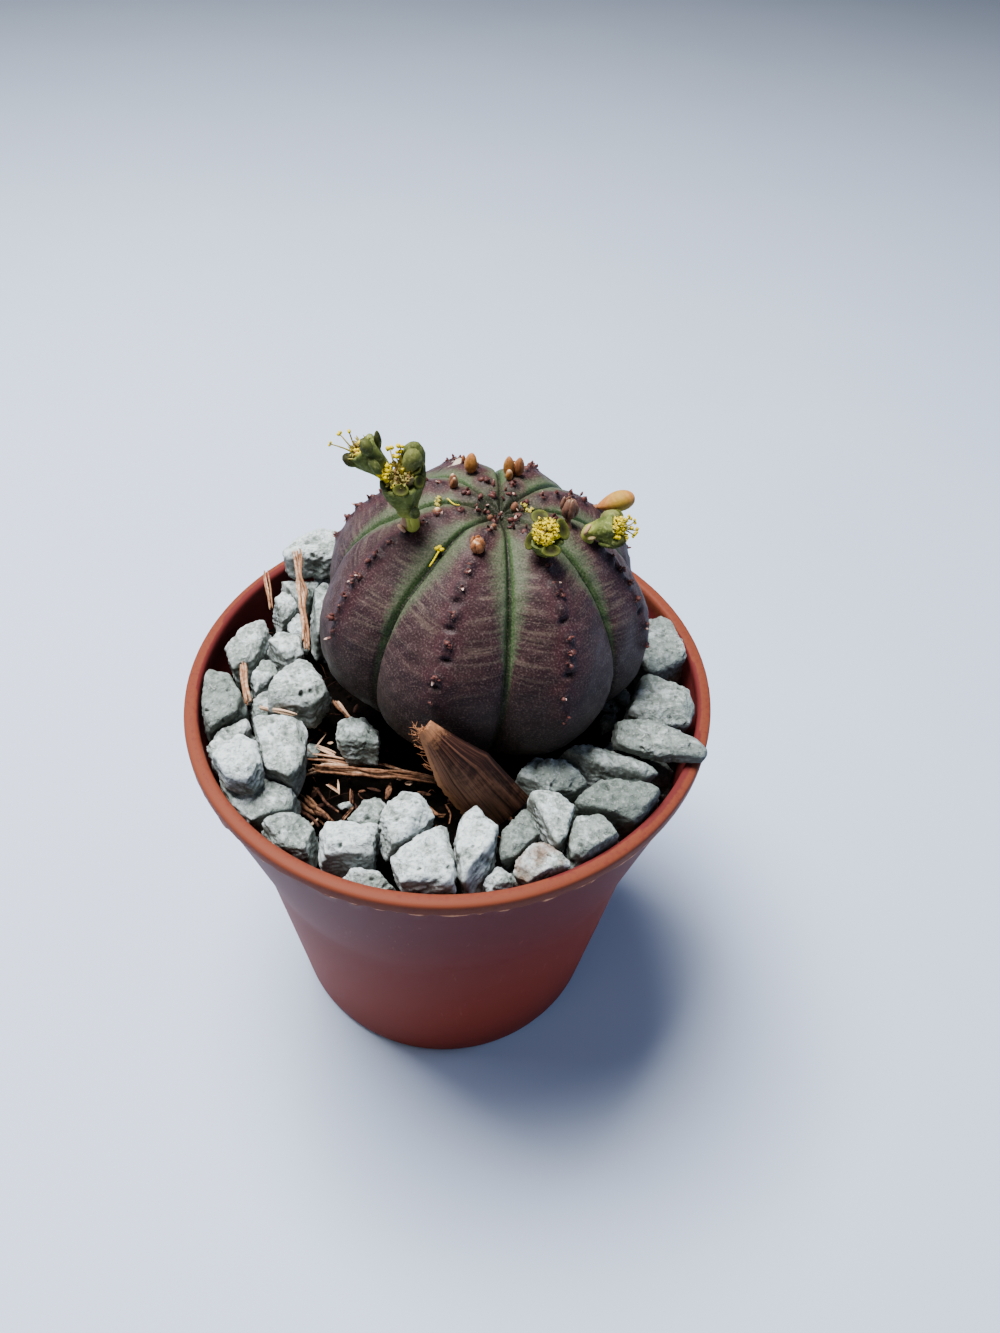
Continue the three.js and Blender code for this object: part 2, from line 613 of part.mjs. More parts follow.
// The planes of a stone: sides that lean a little, chamfers above and below, a top and a base.
function stonePlanes(corners, base, top, onRim, random) {
  const middle = [0, 1].map((i) => corners.reduce((s, c) => s + c[i], 0) / corners.length);
  const half = (top - base) / 2;
  const centre = new THREE.Vector3(middle[0], middle[1], base + half);
  const planes = [];
  const add = (normal, reach) => planes.push({ normal: normal.normalize(), reach });
  corners.forEach(([x, y], i) => {
    const [u, v] = corners[(i + 1) % corners.length];
    const out = new THREE.Vector3(v - y, x - u, 0).normalize();
    if (out.dot(new THREE.Vector3(x - centre.x, y - centre.y, 0)) < 0) out.negate();
    const reach = out.dot(new THREE.Vector3(x - centre.x, y - centre.y, 0));
    const lean = 0.45 * (random() - 0.5);
    add(new THREE.Vector3(out.x, out.y, lean), reach);
    const cut = CHAMFER * (0.7 + 0.9 * random());
    add(new THREE.Vector3(out.x, out.y, 1), (reach + half - cut) / Math.SQRT2);
    const under = CHAMFER * (0.9 + random());
    add(new THREE.Vector3(out.x, out.y, -1), (reach + half - under) / Math.SQRT2);
  });
  const around = Math.atan2(centre.y, centre.x);
  const outwards = (turn) =>
    new THREE.Vector3(Math.cos(around + turn), Math.sin(around + turn), 0);
  if (onRim) {
    const slope = outwards(0).multiplyScalar(RIM_SLOPE).setZ(-1).normalize();
    const seat = outwards(0).multiplyScalar(WALL_REACH - GAP).setZ(RIM_REST);
    add(slope, slope.dot(seat.sub(centre)));
    add(outwards(0).multiplyScalar(-RIM_SLOPE).setZ(1), half);
    return { centre, planes };
  }
  add(new THREE.Vector3(0.24 * (random() - 0.5), 0.24 * (random() - 0.5), 1), half);
  add(new THREE.Vector3(0, 0, -1), half);
  for (const turn of [-0.15, 0, 0.15]) {
    const out = outwards(turn);
    const stretch = ovalAt(around + turn, base);
    add(out.clone(), WALL_REACH * stretch - out.dot(centre));
    const wall = out.clone().multiplyScalar(stretch * (potRadius(base) - POT.wall - GAP - 0.05));
    wall.z = base;
    const sloped = new THREE.Vector3(out.x, out.y, -COLLAR_SLOPE).normalize();
    add(sloped, sloped.dot(wall.sub(centre)));
  }
  return { centre, planes };
}

// Keeps what lies behind a plane through `reach` along `normal` from the origin.
const cutBy = (solid, normal, reach) =>
  solid.trimByPlane([-normal.x, -normal.y, -normal.z], -reach);

function makeStone(corners, base, top, onRim, random) {
  const { centre, planes } = stonePlanes(corners, base, top, onRim, random);
  let solid = solidOf(new THREE.BoxGeometry(20, 20, 20).translate(...centre.toArray()));
  planes.forEach(({ normal, reach }) => {
    solid = cutBy(solid, normal, reach + normal.dot(centre));
  });
  return { solid, centre, normals: planes.map((p) => p.normal) };
}

// How far a solid reaches along a direction, as [nearest, furthest].
function span(solid, normal) {
  const { vertProperties: v } = solid.getMesh();
  let low = Infinity;
  let high = -Infinity;
  for (let i = 0; i < v.length; i += 3) {
    const d = v[i] * normal.x + v[i + 1] * normal.y + v[i + 2] * normal.z;
    low = Math.min(low, d);
    high = Math.max(high, d);
  }
  return [low, high];
}

// Where a stone crosses a neighbour, it is cut back along the direction of least overlap.
// `share` is the part of the overlap that the stone gives up; the neighbour gives the rest.
function settle(stone, other, share) {
  if (stone.solid.intersect(other.solid).volume() < 1e-6) return;
  const between = other.centre.clone().sub(stone.centre).normalize();
  const tries = [between, ...stone.normals, ...other.normals.map((n) => n.clone().negate())];
  let best = null;
  tries.forEach((normal) => {
    if (normal.dot(between) < 0.3) return;
    const far = span(stone.solid, normal)[1];
    const near = span(other.solid, normal)[0];
    if (!best || far - near < best.depth) best = { normal, far, near, depth: far - near };
  });
  const edge = best.far - best.depth * share;
  stone.solid = cutBy(stone.solid, best.normal, edge - (share < 1 ? GAP / 2 : GAP));
  if (share < 1)
    other.solid = cutBy(other.solid, best.normal.clone().negate(), -(edge + GAP / 2));
}

function addGravel() {
  const random = seeded(11);
  const rows = [...STONES];
  for (let i = 0; i < BACK_ROW.count; i++) {
    const { from, to, count, radius, size } = BACK_ROW;
    const around = (from + ((to - from) * i) / (count - 1)) * DEG;
    const x = (radius + random()) * Math.cos(around);
    const y = (radius + random()) * Math.sin(around);
    const corners = Array.from({ length: 6 }, (_, k) => {
      const a = (k / 6) * 2 * Math.PI + 0.5 * random();
      const r = size * (0.8 + 0.4 * random());
      return [x + r * Math.cos(a), y + r * Math.sin(a)];
    });
    rows.push([null, 47.4 + 1.6 * random(), corners]);
  }
  const stones = rows.map(([base, top, corners, onRim = false]) => {
    const ground = Math.max(...corners.map(([x, y]) => soilHeight(x, y)));
    return makeStone(corners, base ?? ground + GAP, top, onRim, random);
  });
  stones.forEach((stone, i) => {
    stones.slice(i + 1).forEach((other) => settle(stone, other, 0.5));
  });
  const globe = { solid: solids.get("plant"), centre: vector(PLANT.middle), normals: [] };
  const husk = { solid: solids.get("husk"), centre: vector([2, -16, 52]), normals: [vector([0, 1, 0])] };
  stones.forEach((stone) => {
    settle(stone, globe, 1);
    settle(stone, husk, 1);
  });
  stones.forEach((stone, i) =>
    place(
      `stone_${String(i + 1).padStart(2, "0")}`,
      stone.solid,
      ZEOLITE,
      stone.centre.toArray().map((c) => Math.round(c * 10) / 10),
    ),
  );
}

// ---------------------------------------------------------------- assembly
place("pot", makePot(), TERRACOTTA_PLASTIC);
place("soil", makeSoil(), PEAT);
place("plant", makePlant(), SKIN, PLANT.middle);
addBlooms();
addBuds();
place("husk", makeHusk(), DRY_HUSK, [2, -16, 52]);
Object.entries(FIBRES).forEach(([name, [points, width]]) =>
  place(name, solidOf(strand(points, width, 0.6, 6, 6)), COIR, points[0]),
);
addGravel();

export default part;
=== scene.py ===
"""A baseball plant (Euphorbia obesa) in a small moulded nursery pot, dressed piece by piece.

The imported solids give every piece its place. Lengths in the settings are metres; the shape
rules work in millimetres and are scaled once, when a mesh is made.
"""
import math

import bpy
import numpy as np
from bpy.props import FloatProperty, FloatVectorProperty, IntProperty, PointerProperty
from mathutils import Matrix, Vector


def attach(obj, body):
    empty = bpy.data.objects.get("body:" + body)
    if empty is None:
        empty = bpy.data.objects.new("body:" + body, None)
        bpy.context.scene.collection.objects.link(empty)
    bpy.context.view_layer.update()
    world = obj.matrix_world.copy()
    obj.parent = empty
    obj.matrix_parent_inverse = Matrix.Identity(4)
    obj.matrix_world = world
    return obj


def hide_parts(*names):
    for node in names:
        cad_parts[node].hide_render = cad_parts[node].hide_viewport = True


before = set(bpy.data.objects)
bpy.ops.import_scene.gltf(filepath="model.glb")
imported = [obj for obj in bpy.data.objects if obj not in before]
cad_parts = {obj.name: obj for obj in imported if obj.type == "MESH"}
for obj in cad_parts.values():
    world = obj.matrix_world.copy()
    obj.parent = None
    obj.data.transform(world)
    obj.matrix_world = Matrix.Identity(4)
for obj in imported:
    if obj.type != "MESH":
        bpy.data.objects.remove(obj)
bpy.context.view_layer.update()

bl_info = {
    "name": "Baseball plant in its pot",
    "version": (1, 0, 0),
    "blender": (4, 5, 0),
    "location": "3D View > Sidebar > Plant",
    "description": "Makes the surfaces and finishes of a potted baseball plant",
    "category": "Add Mesh",
}

MM = 0.001
TURN = 2 * math.pi
UP = np.array([0.0, 0.0, 1.0])


def linear(code):
    """An sRGB hex colour as linear RGBA: c / 12.92 below 0.04045, else ((c + 0.055) / 1.055) ** 2.4."""
    channels = [int(code[i : i + 2], 16) / 255 for i in (1, 3, 5)]
    return (*[c / 12.92 if c <= 0.04045 else ((c + 0.055) / 1.055) ** 2.4 for c in channels], 1.0)


def length(name, description, default):
    """A size in metres, shown as a distance."""
    return FloatProperty(name=name, description=description, default=default, unit="LENGTH", precision=5)


def tint(name, description, code):
    """A colour setting, given as sRGB hex."""
    return FloatVectorProperty(
        name=name, description=description, subtype="COLOR", size=4, min=0, max=1, default=linear(code)
    )


# ------------------------------------------------------------------ settings
class PotSettings(bpy.types.PropertyGroup):
    height: length("Height", "From the underside to the top of the rim", 0.0485)
    rim_radius: length("Rim radius", "Outside of the rolled rim", 0.0275)
    bead_radius: length("Bead radius", "Half the thickness of the rolled rim", 0.00075)
    collar_radius: length("Collar radius", "Outside of the flared collar, under the rim", 0.0272)
    kink_height: length("Kink height", "Where the body ends and the collar starts", 0.028)
    kink_radius: length("Kink radius", "Outside radius at the kink", 0.0227)
    base_radius: length("Base radius", "Outside radius of the foot", 0.0193)
    wall: length("Wall", "Thickness of the wall", 0.0008)
    floor: length("Floor", "Thickness of the floor", 0.0012)
    drain_radius: length("Drain radius", "Radius of each drain hole", 0.0019)
    drain_ring: length("Drain ring", "Radius of the ring of drain holes", 0.0125)
    drains: IntProperty(name="Drains", description="How many drain holes the floor has", default=5, min=1)
    oval: FloatProperty(name="Oval", description="How far the rim is squeezed out of round", default=0.0156)
    oval_along: FloatProperty(
        name="Oval direction",
        description="Where the rim is widest",
        default=math.radians(62.6),
        unit="ROTATION",
    )
    colour: tint("Plastic", "Pigment of the moulded plastic", "#722b1d")
    # Rim wear. Along the rim's top outer edge it also serves as a painted highlight.
    wear_and_highlight: tint("Worn plastic", "Scuffed and bleached plastic on the rim", "#673526")
    # Painted shade: the collar's darker colour stands in for the shade under the rim, not for a second
    # pigment.
    collar_painted_shade: tint("Darker plastic", "Pigment in the collar", "#552122")


class SoilSettings(bpy.types.PropertyGroup):
    level: length("Level", "Height of the soil's top", 0.0433)
    dip: length("Dip", "How far the soil sinks round the root neck", 0.0009)
    crumb: length("Crumb", "Height of the crumbs and hollows", 0.0006)
    colour: tint("Peat", "Damp peat", "#050302")
    dry: tint("Dry peat", "Drier crumbs on top", "#170c07")


class PlantSettings(bpy.types.PropertyGroup):
    middle: FloatVectorProperty(
        name="Middle",
        description="Middle of the globe",
        subtype="TRANSLATION",
        default=(0.0028, 0.0033, 0.0546),
    )
    radius: length("Radius", "Radius round the equator", 0.017)
    up: length("Rise", "Height of the crown above the equator", 0.0144)
    down: length("Drop", "Depth of the underside below the equator", 0.0117)
    lean: FloatProperty(
        name="Lean", description="Tilt of the axis", default=math.radians(4.7), unit="ROTATION"
    )
    furrow_depth: FloatProperty(
        name="Furrow depth", description="Depth of a furrow as a share of the radius", default=0.085
    )
    crease: length("Crease", "Depth of the sharp line in each furrow", 0.00035)
    dimple: length("Crown dimple", "How far the crown is sunken", 0.0016)
    furrows: FloatVectorProperty(
        name="Furrows",
        description="Direction of each furrow",
        size=8,
        unit="ROTATION",
        default=[math.radians(a) for a in (-179, -129, -80.5, -32.5, 10.5, 53, 95.5, 138)],
    )
    rib: tint("Rib", "Mauve-brown skin of the ribs", "#362426")
    rib_dark: tint("Dark rib", "Burgundy skin round the tubercles and in the cross-bands", "#24141a")
    streak: tint("Streak", "Pale thin streaks across the ribs", "#6f6558")
    margin: tint("Furrow margin", "Grey-green skin beside each furrow", "#434d3a")
    furrow: tint("Furrow", "Green of the furrow itself", "#2f4726")
    # Partly the olive-brown of older skin, partly painted shade: the skin darkens towards the soil.
    low: tint("Lower skin", "Dull olive-brown skin near the soil", "#1d1d15")
    cork: tint("Cork", "Pale corky scar", "#a99d92")


class GravelSettings(bpy.types.PropertyGroup):
    edge: FloatProperty(name="Edge", description="Sharpness of a stone's edges", default=36)
    roughness: length("Roughness", "Height of the lumps on a stone", 0.0001)
    colour: tint("Zeolite", "Pale grey-green stone", "#84928f")
    light: tint("Chalky faces", "Lighter weathered faces", "#bbc8cc")
    pits: tint("Pits", "Dark grey-green pits and flecks", "#434e4a")
    stain: tint("Iron stain", "Brown stain on some stones", "#7a5f4e")


class LitterSettings(bpy.types.PropertyGroup):
    strands: IntProperty(
        name="Loose strands", description="Strands and bark chips over the soil", default=300, min=0
    )
    colour: tint("Coir", "Tan of the dry coir and bark", "#8a6248")
    light: tint("Frayed coir", "Bleached broken ends", "#c9a88e")
    dark: tint("Old coir", "Dark red-brown of old strands", "#27120b")
    husk: tint("Husk", "Dark red-brown of the dry husk", "#28130c")
    husk_low: tint("Husk foot", "Mottled brown of the husk's lower half", "#6d4a39")
    husk_edge: tint("Husk edge", "Pale margin and torn tip of the husk", "#a3714f")


class BloomSettings(bpy.types.PropertyGroup):
    green: tint("Cup", "Fleshy green of the cups and stalks", "#5c6731")
    stalk: tint("Stalk", "Paler green at the foot", "#adb24c")
    gland: tint("Gland", "Olive-brown middle of a gland", "#1a1704")
    lip: tint("Gland lip", "Yellow-green rim of a gland", "#474d11")
    pollen: tint("Pollen", "Yellow anthers", "#d2bd00")
    filament: tint("Filament", "Pale stalks of the stamens", "#8f8a50")
    bud: tint("Bud", "Orange-brown bud scales", "#8f562f")
    bud_pale: tint("Bud edge", "Pale papery edges", "#c9ae8e")


# ------------------------------------------------------------------ shape rules, in millimetres
def noise(points, wavelength, seed, waves=14):
    """Smooth noise about 0: sines of plane waves in random directions, each near one wavelength, are added
    and divided by the root of their number."""
    random = np.random.default_rng(seed)
    ways = random.normal(size=(waves, 3))
    ways /= np.linalg.norm(ways, axis=1, keepdims=True)
    ways *= TURN / wavelength * random.uniform(0.7, 1.5, (waves, 1))
    return np.sin(points @ ways.T + random.uniform(0, TURN, waves)).sum(-1) / math.sqrt(waves)


def steps_round(count):
    """The angles of `count` equal steps round a circle."""
    return np.linspace(0, TURN, count, endpoint=False)


def swollen(rings, factor):
    """Rings whose points have moved away from the middle of their ring by a factor each."""
    middle = rings.mean(1, keepdims=True)
    return middle + (rings - middle) * factor[..., None]


def smooth_curve(points, count):
    """`count` points on the Catmull-Rom curve through `points`, evenly spaced by knot."""
    points = np.asarray(points, float)
    ends = np.concatenate([[2 * points[0] - points[1]], points, [2 * points[-1] - points[-2]]])
    knots = np.linspace(0, len(points) - 1, count)
    first = np.minimum(knots.astype(int), len(points) - 2)
    t = (knots - first)[:, None]
    a, b, c, d = (ends[first + i] for i in range(4))
    cubic = 2 * b + (c - a) * t + (2 * a - 5 * b + 4 * c - d) * t**2 + (3 * b - a - 3 * c + d) * t**3
    return 0.5 * cubic


def frames(path, side=None):
    """Tangent, side and third axis along a path; the side stays as close to `side` as the path lets it."""
    tangent = np.gradient(path, axis=0)
    tangent /= np.linalg.norm(tangent, axis=1, keepdims=True) + 1e-12
    if side is None:
        side = np.eye(3)[np.argmin(np.abs(tangent.mean(0)))]
    across = side - (tangent * side).sum(1, keepdims=True) * tangent
    across /= np.linalg.norm(across, axis=1, keepdims=True) + 1e-12
    return tangent, across, np.cross(tangent, across)


def tube(path, radius, sides=8, flat=1.0, side=None):
    """Rings round a path: centre + cos(a) * radius * across + sin(a) * radius * flat * third."""
    _, across, third = frames(path, side)
    a = steps_round(sides)[None, :, None]
    radius = np.broadcast_to(np.asarray(radius, float), (len(path),))[:, None, None]
    return path[:, None] + radius * (np.cos(a) * across[:, None] + flat * np.sin(a) * third[:, None])


def turned(profile, sides, at=(0, 0, 0), to=(0, 0, 1), squash=1.0, turn=0.0):
    """Rings of a (radius, height) profile round the line from `at` along `to`, squashed across `turn`."""
    to = np.asarray(to, float) / np.linalg.norm(to)
    side = np.cross(UP, to)
    side = np.array([1.0, 0, 0]) if np.linalg.norm(side) < 1e-6 else side / np.linalg.norm(side)
    third = np.cross(to, side)
    side, third = (
        math.cos(turn) * side + math.sin(turn) * third,
        math.cos(turn) * third - math.sin(turn) * side,
    )
    r, h = np.asarray(profile, float).T[:, :, None, None]
    a = steps_round(sides)[None, :, None]
    return np.asarray(at, float) + r * (np.cos(a) * side + squash * np.sin(a) * third) + h * to


def make_piece(name, blocks, material, replaces=()):
    """One mesh of closed skins. A block is (rings of points, marks): each ring joins the next by quads,
    and a fan closes each end. Marks are named numbers, one for each point, which the material reads."""
    points, quads, fans, marks = [], [], [], {}
    start = 0
    for rings, block_marks in blocks:
        rows, columns = rings.shape[:2]
        index = start + np.arange(rows * columns).reshape(rows, columns)
        right = np.roll(index, -1, axis=1)
        points += [rings.reshape(-1, 3), rings[[0, -1]].mean(1)]
        quads.append(np.stack([index[:-1], right[:-1], right[1:], index[1:]], -1).reshape(-1, 4))
        first, last = start + rows * columns + np.zeros((2, columns), int) + [[0], [1]]
        fans += [np.stack([right[0], index[0], first], -1), np.stack([index[-1], right[-1], last], -1)]
        for mark, values in block_marks.items():
            values = np.broadcast_to(values, (rows, columns))
            ends = values[[0, -1]].mean(1)
            marks.setdefault(mark, []).append(np.concatenate([values.reshape(-1), ends]))
        start += rows * columns + 2
    points, quads, fans = np.concatenate(points) * MM, np.concatenate(quads), np.concatenate(fans)
    totals = np.concatenate([np.full(len(quads), 4), np.full(len(fans), 3)])
    mesh = bpy.data.meshes.new(name)
    mesh.vertices.add(len(points))
    mesh.vertices.foreach_set("co", points.reshape(-1))
    mesh.loops.add(int(totals.sum()))
    mesh.loops.foreach_set("vertex_index", np.concatenate([quads.reshape(-1), fans.reshape(-1)]))
    mesh.polygons.add(len(totals))
    mesh.polygons.foreach_set("loop_start", np.concatenate([[0], np.cumsum(totals)[:-1]]))
    mesh.polygons.foreach_set("loop_total", totals)
    mesh.polygons.foreach_set("use_smooth", np.ones(len(totals), bool))
    for mark, values in marks.items():
        mesh.attributes.new(mark, "FLOAT", "POINT").data.foreach_set("value", np.concatenate(values))
    mesh.update(calc_edges=True)
    mesh.materials.append(material)
    piece = bpy.data.objects.new(name, mesh)
    bpy.context.scene.collection.objects.link(piece)
    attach(piece, "root")
    if replaces:
        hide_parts(*replaces)
    return piece


# ------------------------------------------------------------------ node helper
def add(tree, kind, *inputs, give=None, **settings):
    """Adds one shader node and returns its first output, or the one named by `give`. Settings are the node's
    own properties; the inputs fill the sockets that it shows, in order, each by a value or by the socket that
    feeds it."""
    node = tree.nodes.new("ShaderNode" + kind)
    for key, value in settings.items():
        setattr(node, key, value)
    for socket, value in zip([socket for socket in node.inputs if socket.enabled], inputs):
        if isinstance(value, bpy.types.NodeSocket):
            tree.links.new(value, socket)
        elif value is not None:
            socket.default_value = value
    return next(socket for socket in node.outputs if socket.enabled and give in (None, socket.name))


# Settings that many nodes share: a soft clamped ramp, a mix of two colours, and three kinds of sum.
RAMP = {"interpolation_type": "SMOOTHSTEP"}
MIX = {"data_type": "RGBA"}
PLUS, MINUS, TIMES = {"operation": "ADD"}, {"operation": "SUBTRACT"}, {"operation": "MULTIPLY"}


def finish(name, roughness, ior=1.45, specular=0.5, *marks):
    """An empty procedural material, with its tree, its shader, its Object coordinates in millimetres and the
    marks that it reads from the mesh."""
    material = bpy.data.materials.new(name)
    material.use_nodes = True
    tree = material.node_tree
    shader = tree.nodes["Principled BSDF"]
    shader.inputs["Roughness"].default_value = roughness
    shader.inputs["IOR"].default_value = ior
    shader.inputs["Specular IOR Level"].default_value = specular
    spot = add(tree, "TexCoord", give="Object")
    spot = add(tree, "VectorMath", spot, 1 / MM, operation="SCALE")
    return material, tree, shader, spot, *(add(tree, "Attribute", attribute_name=mark) for mark in marks)


def layers(tree, colour, *rows):
    """Lays colours over `colour`, row by row. A row is a colour and its ramps, whose product is the share
    that the colour gets. A ramp is a value, its two limits and, unless they are 0 and 1, its results there;
    a value alone is a share as it stands."""
    for hue, *ramps in rows:
        share = None
        for value, *limits in reversed(ramps):
            step = add(tree, "MapRange", value, *limits, **RAMP) if limits else value
            share = step if share is None else add(tree, "Math", step, share, **TIMES)
        colour = add(tree, "Mix", share, colour, tuple(hue), **MIX)
    return colour


def coat(tree, shader, **sockets):
    """Feeds the shader's sockets, named with _ for a space."""
    for name, value in sockets.items():
        tree.links.new(value, shader.inputs[name.replace("_", " ")])


# ------------------------------------------------------------------ the pot
def oval_at(angle, z, pot):
    """How far the oval stretches a radius: 1 + oval * z / height * cos(2 * (angle - direction))."""
    return 1 + pot.oval * z / (pot.height / MM) * np.cos(2 * (angle - pot.oval_along))


def pot_radius(z, pot):
    """The outside wall: straight from the foot to the kink, then flaring to the collar's top."""
    kink, top = pot.kink_height / MM, (pot.height - 2 * pot.bead_radius) / MM
    return np.interp(z, [0, kink, top], [pot.base_radius / MM, pot.kink_radius / MM, pot.collar_radius / MM])


def terracotta_polypropylene(pot):
    """Injection-moulded polypropylene with terracotta pigment: satin and even, which gives soft broad lights;
    it is darker towards the collar, which is painted shade, and scuffed to orange on the rim, with a painted
    highlight along its top outer edge, palest along the torn flash."""
    material, tree, shader, spot, wear_and_highlight = finish("terracotta_polypropylene", 0.5, 1.49, 0.06, "wear_and_highlight")
    z = add(tree, "SeparateXYZ", spot, give="Z")
    drift = add(tree, "Math", add(tree, "TexNoise", spot, 1 / 24, 2), 9.0, **TIMES)
    height = add(tree, "Math", z, drift, **PLUS)
    # Upright hairline scratches, 0.3 mm apart and some 4 mm long, in a few patches.
    hairs = add(tree, "TexNoise", add(tree, "Mapping", spot, None, None, (3.2, 3.2, 0.25)), 1.0, 2)
    patch = add(tree, "TexNoise", spot, 1 / 9, 2)
    grit = add(tree, "TexNoise", spot, 1 / 0.5, 4, 0.7)
    ragged = add(tree, "Math", wear_and_highlight, add(tree, "Math", grit, 0.5, **TIMES), **PLUS)
    colour = layers(
        tree,
        tuple(pot.collar_painted_shade),
        # Painted shade: the plastic darkens from the foot up to the collar.
        (pot.colour, (height, 14, 50, 1, 0)),
        (linear("#a4695f"), (hairs, 0.62, 0.72), (patch, 0.55, 0.68, 0, 0.22)),
        # Wear on the rim and along the flash, heavier on the rim's top outer edge as a painted highlight.
        (pot.wear_and_highlight, (ragged, 0.35, 0.6)),
        (linear("#b9805e"), (ragged, 0.9, 1.15)),
    )
    fine = add(tree, "TexNoise", spot, 1 / 0.25, 3)
    coat(tree, shader, Base_Color=colour, Normal=add(tree, "Bump", 0.5, 0.012 * MM, None, fine))
    return material


# The rolled rim's section, as (radius, height) from the rim's outside and top: from its torn lower edge over
# the top to the inside.
RIM_SECTION = [
    (-0.3, -1.52), (-0.12, -1.46), (-0.03, -1.38), (0, -1.25), (-0.01, -0.9), (-0.03, -0.5), (-0.09, -0.25),
    (-0.2, -0.13), (-0.36, -0.06), (-0.7, -0.01), (-1.05, 0), (-1.3, -0.06), (-1.44, -0.22), (-1.5, -0.55),
    (-1.42, -1.2),
]
# Moulding flash, a torn lip along the rim's lower outside edge: how far it lies below the top, how tall its
# band is, and how far it hangs down and stands out.
FLASH_BELOW, FLASH_BAND, FLASH_DROP, FLASH_OUT = 1.38, 0.16, 0.18, 0.04
# How far the dressed rim stays inside the solid's.
BOX_GAP = 0.04
# The shortest step that the section is split into, and the number of steps round the pot.
POT_STEP, POT_SIDES = 1.6, 288


class MakePot(bpy.types.Operator):
    """Turns the pot: wall, flared collar, rolled rim with moulding flash, and a drilled floor"""

    bl_idname = "baseball_plant.make_pot"
    bl_label = "Pot"

    def execute(self, context):
        pot = context.scene.plant_pot
        height, bead, wall = pot.height / MM, pot.bead_radius / MM, pot.wall / MM
        rim, floor = pot.rim_radius / MM, pot.floor / MM
        kink, base = pot.kink_height / MM, pot.base_radius / MM
        ring = np.array([rim, height]) + RIM_SECTION
        under_rim = height - 2 * bead - 0.12
        corner = [(base - 0.9, 0), (base - 0.45, 0.08), (base - 0.12, 0.35)]
        outside = [(pot_radius(z, pot), z) for z in (1.2, 5, 10, 16, 22, kink - 0.5)]
        collar = [(pot_radius(z, pot), z) for z in (kink + 0.5, kink + 2, 34, 38, 42, 44.5, under_rim)]
        inside = [(pot_radius(z, pot) - wall, z) for z in (46, 43, 38, 33, kink, 20, 10, floor + 0.6)]
        profile = [(0.4, 0), (8, 0), (16, 0), *corner, *outside, *collar, *ring, *inside]
        profile = np.array([*profile, (base - wall - 0.7, floor), (9, floor), (0.4, floor)])
        fine = []
        for a, b in zip(profile[:-1], profile[1:]):
            parts = max(1, int(np.linalg.norm(b - a) / POT_STEP))
            fine += [a + (b - a) * i / parts for i in range(parts)]
        rings = turned(np.array([*fine, profile[-1]]), POT_SIDES)
        angle = np.arctan2(rings[..., 1], rings[..., 0])
        z = rings[..., 2]
        rings[..., :2] *= oval_at(angle, z, pot)[..., None]
        radius = np.linalg.norm(rings[..., :2], axis=-1)
        out = rings[..., :2] / radius[..., None]
        outer = radius > rim - 0.4
        low_edge = np.exp(-(((z - (height - FLASH_BELOW)) / FLASH_BAND) ** 2)) * outer
        flash = np.clip(noise(rings, 2.6, 3) + 0.6 * noise(rings, 0.8, 4), -0.6, 1.6)
        rings[..., 2] -= low_edge * FLASH_DROP * flash
        rings[..., :2] += out * (low_edge * FLASH_OUT * flash)[..., None]
        reach = np.linalg.norm(rings[..., :2], axis=-1)
        most = rim * oval_at(angle, height, pot) - BOX_GAP
        rings[..., :2] *= np.minimum(1, most / reach)[..., None]
        # Painted highlight: the rim's top outer edge gets extra wear colour in place of the light along it.
        edge_highlight = np.exp(-(((z - (height - 0.14)) / 0.12) ** 2)) * outer
        on_rim = (z > height - 1.6) * (radius > rim - 1.4)
        wear_and_highlight = on_rim * (0.3 + 0.22 * edge_highlight + low_edge * np.clip(0.45 + 0.4 * flash, 0, 1))
        plastic = terracotta_polypropylene(pot)
        piece = make_piece("pot_body", [(rings, {"wear_and_highlight": wear_and_highlight})], plastic, ["pot"])
        around = np.arange(pot.drains) / pot.drains * TURN
        drains = np.stack([np.cos(around), np.sin(around), 0 * around], 1) * pot.drain_ring / MM
        bore = [(pot.drain_radius / MM, -1), (pot.drain_radius / MM, 3)]
        drills = [turned(bore, 40, at) for at in drains]
        blocks = [(rings, {"wear_and_highlight": 0.0}) for rings in drills]
        drill = make_piece("drill", blocks, plastic)
        cut = piece.modifiers.new("drains", "BOOLEAN")
        cut.object, cut.operation, cut.solver = drill, "DIFFERENCE", "EXACT"
        shape = bpy.data.meshes.new_from_object(piece.evaluated_get(context.evaluated_depsgraph_get()))
        piece.modifiers.clear()
        piece.data = shape
        bpy.data.objects.remove(drill)
        return {"FINISHED"}


# ------------------------------------------------------------------ the soil
# Where the root neck stands, in plan, and how far the dip round it reaches.
NECK_AT, DIP_REACH = (1.9, 3.3), 9
# The soil's gap to the wall, the width over which its lumps fade out there, and its rings and steps round.
WALL_GAP, FADE, SOIL_RINGS, SOIL_SIDES = 0.4, 1.5, 76, 220
# How many crumbs are strewn, how large they are, over what radius, and the radius of the bare spot under the
# globe.
CRUMBS, CRUMB_SIZES, STREWN, UNDER_GLOBE = 900, (0.1, 0.36), 24, 13


def soil_height(x, y, soil):
    """Low waves about the level, and a dip round the root neck."""
    waves = 0.25 * (np.sin(0.42 * x + 1.1) + np.cos(0.37 * y - 0.25 * x))
    away = np.hypot(x - NECK_AT[0], y - NECK_AT[1]) / DIP_REACH
    return soil.level / MM + waves - soil.dip / MM * np.exp(-(away**2))


def soil_reach(z, pot):
    """How far the soil reaches from the pot's axis: nearly to the wall."""
    return pot_radius(z, pot) - pot.wall / MM - WALL_GAP


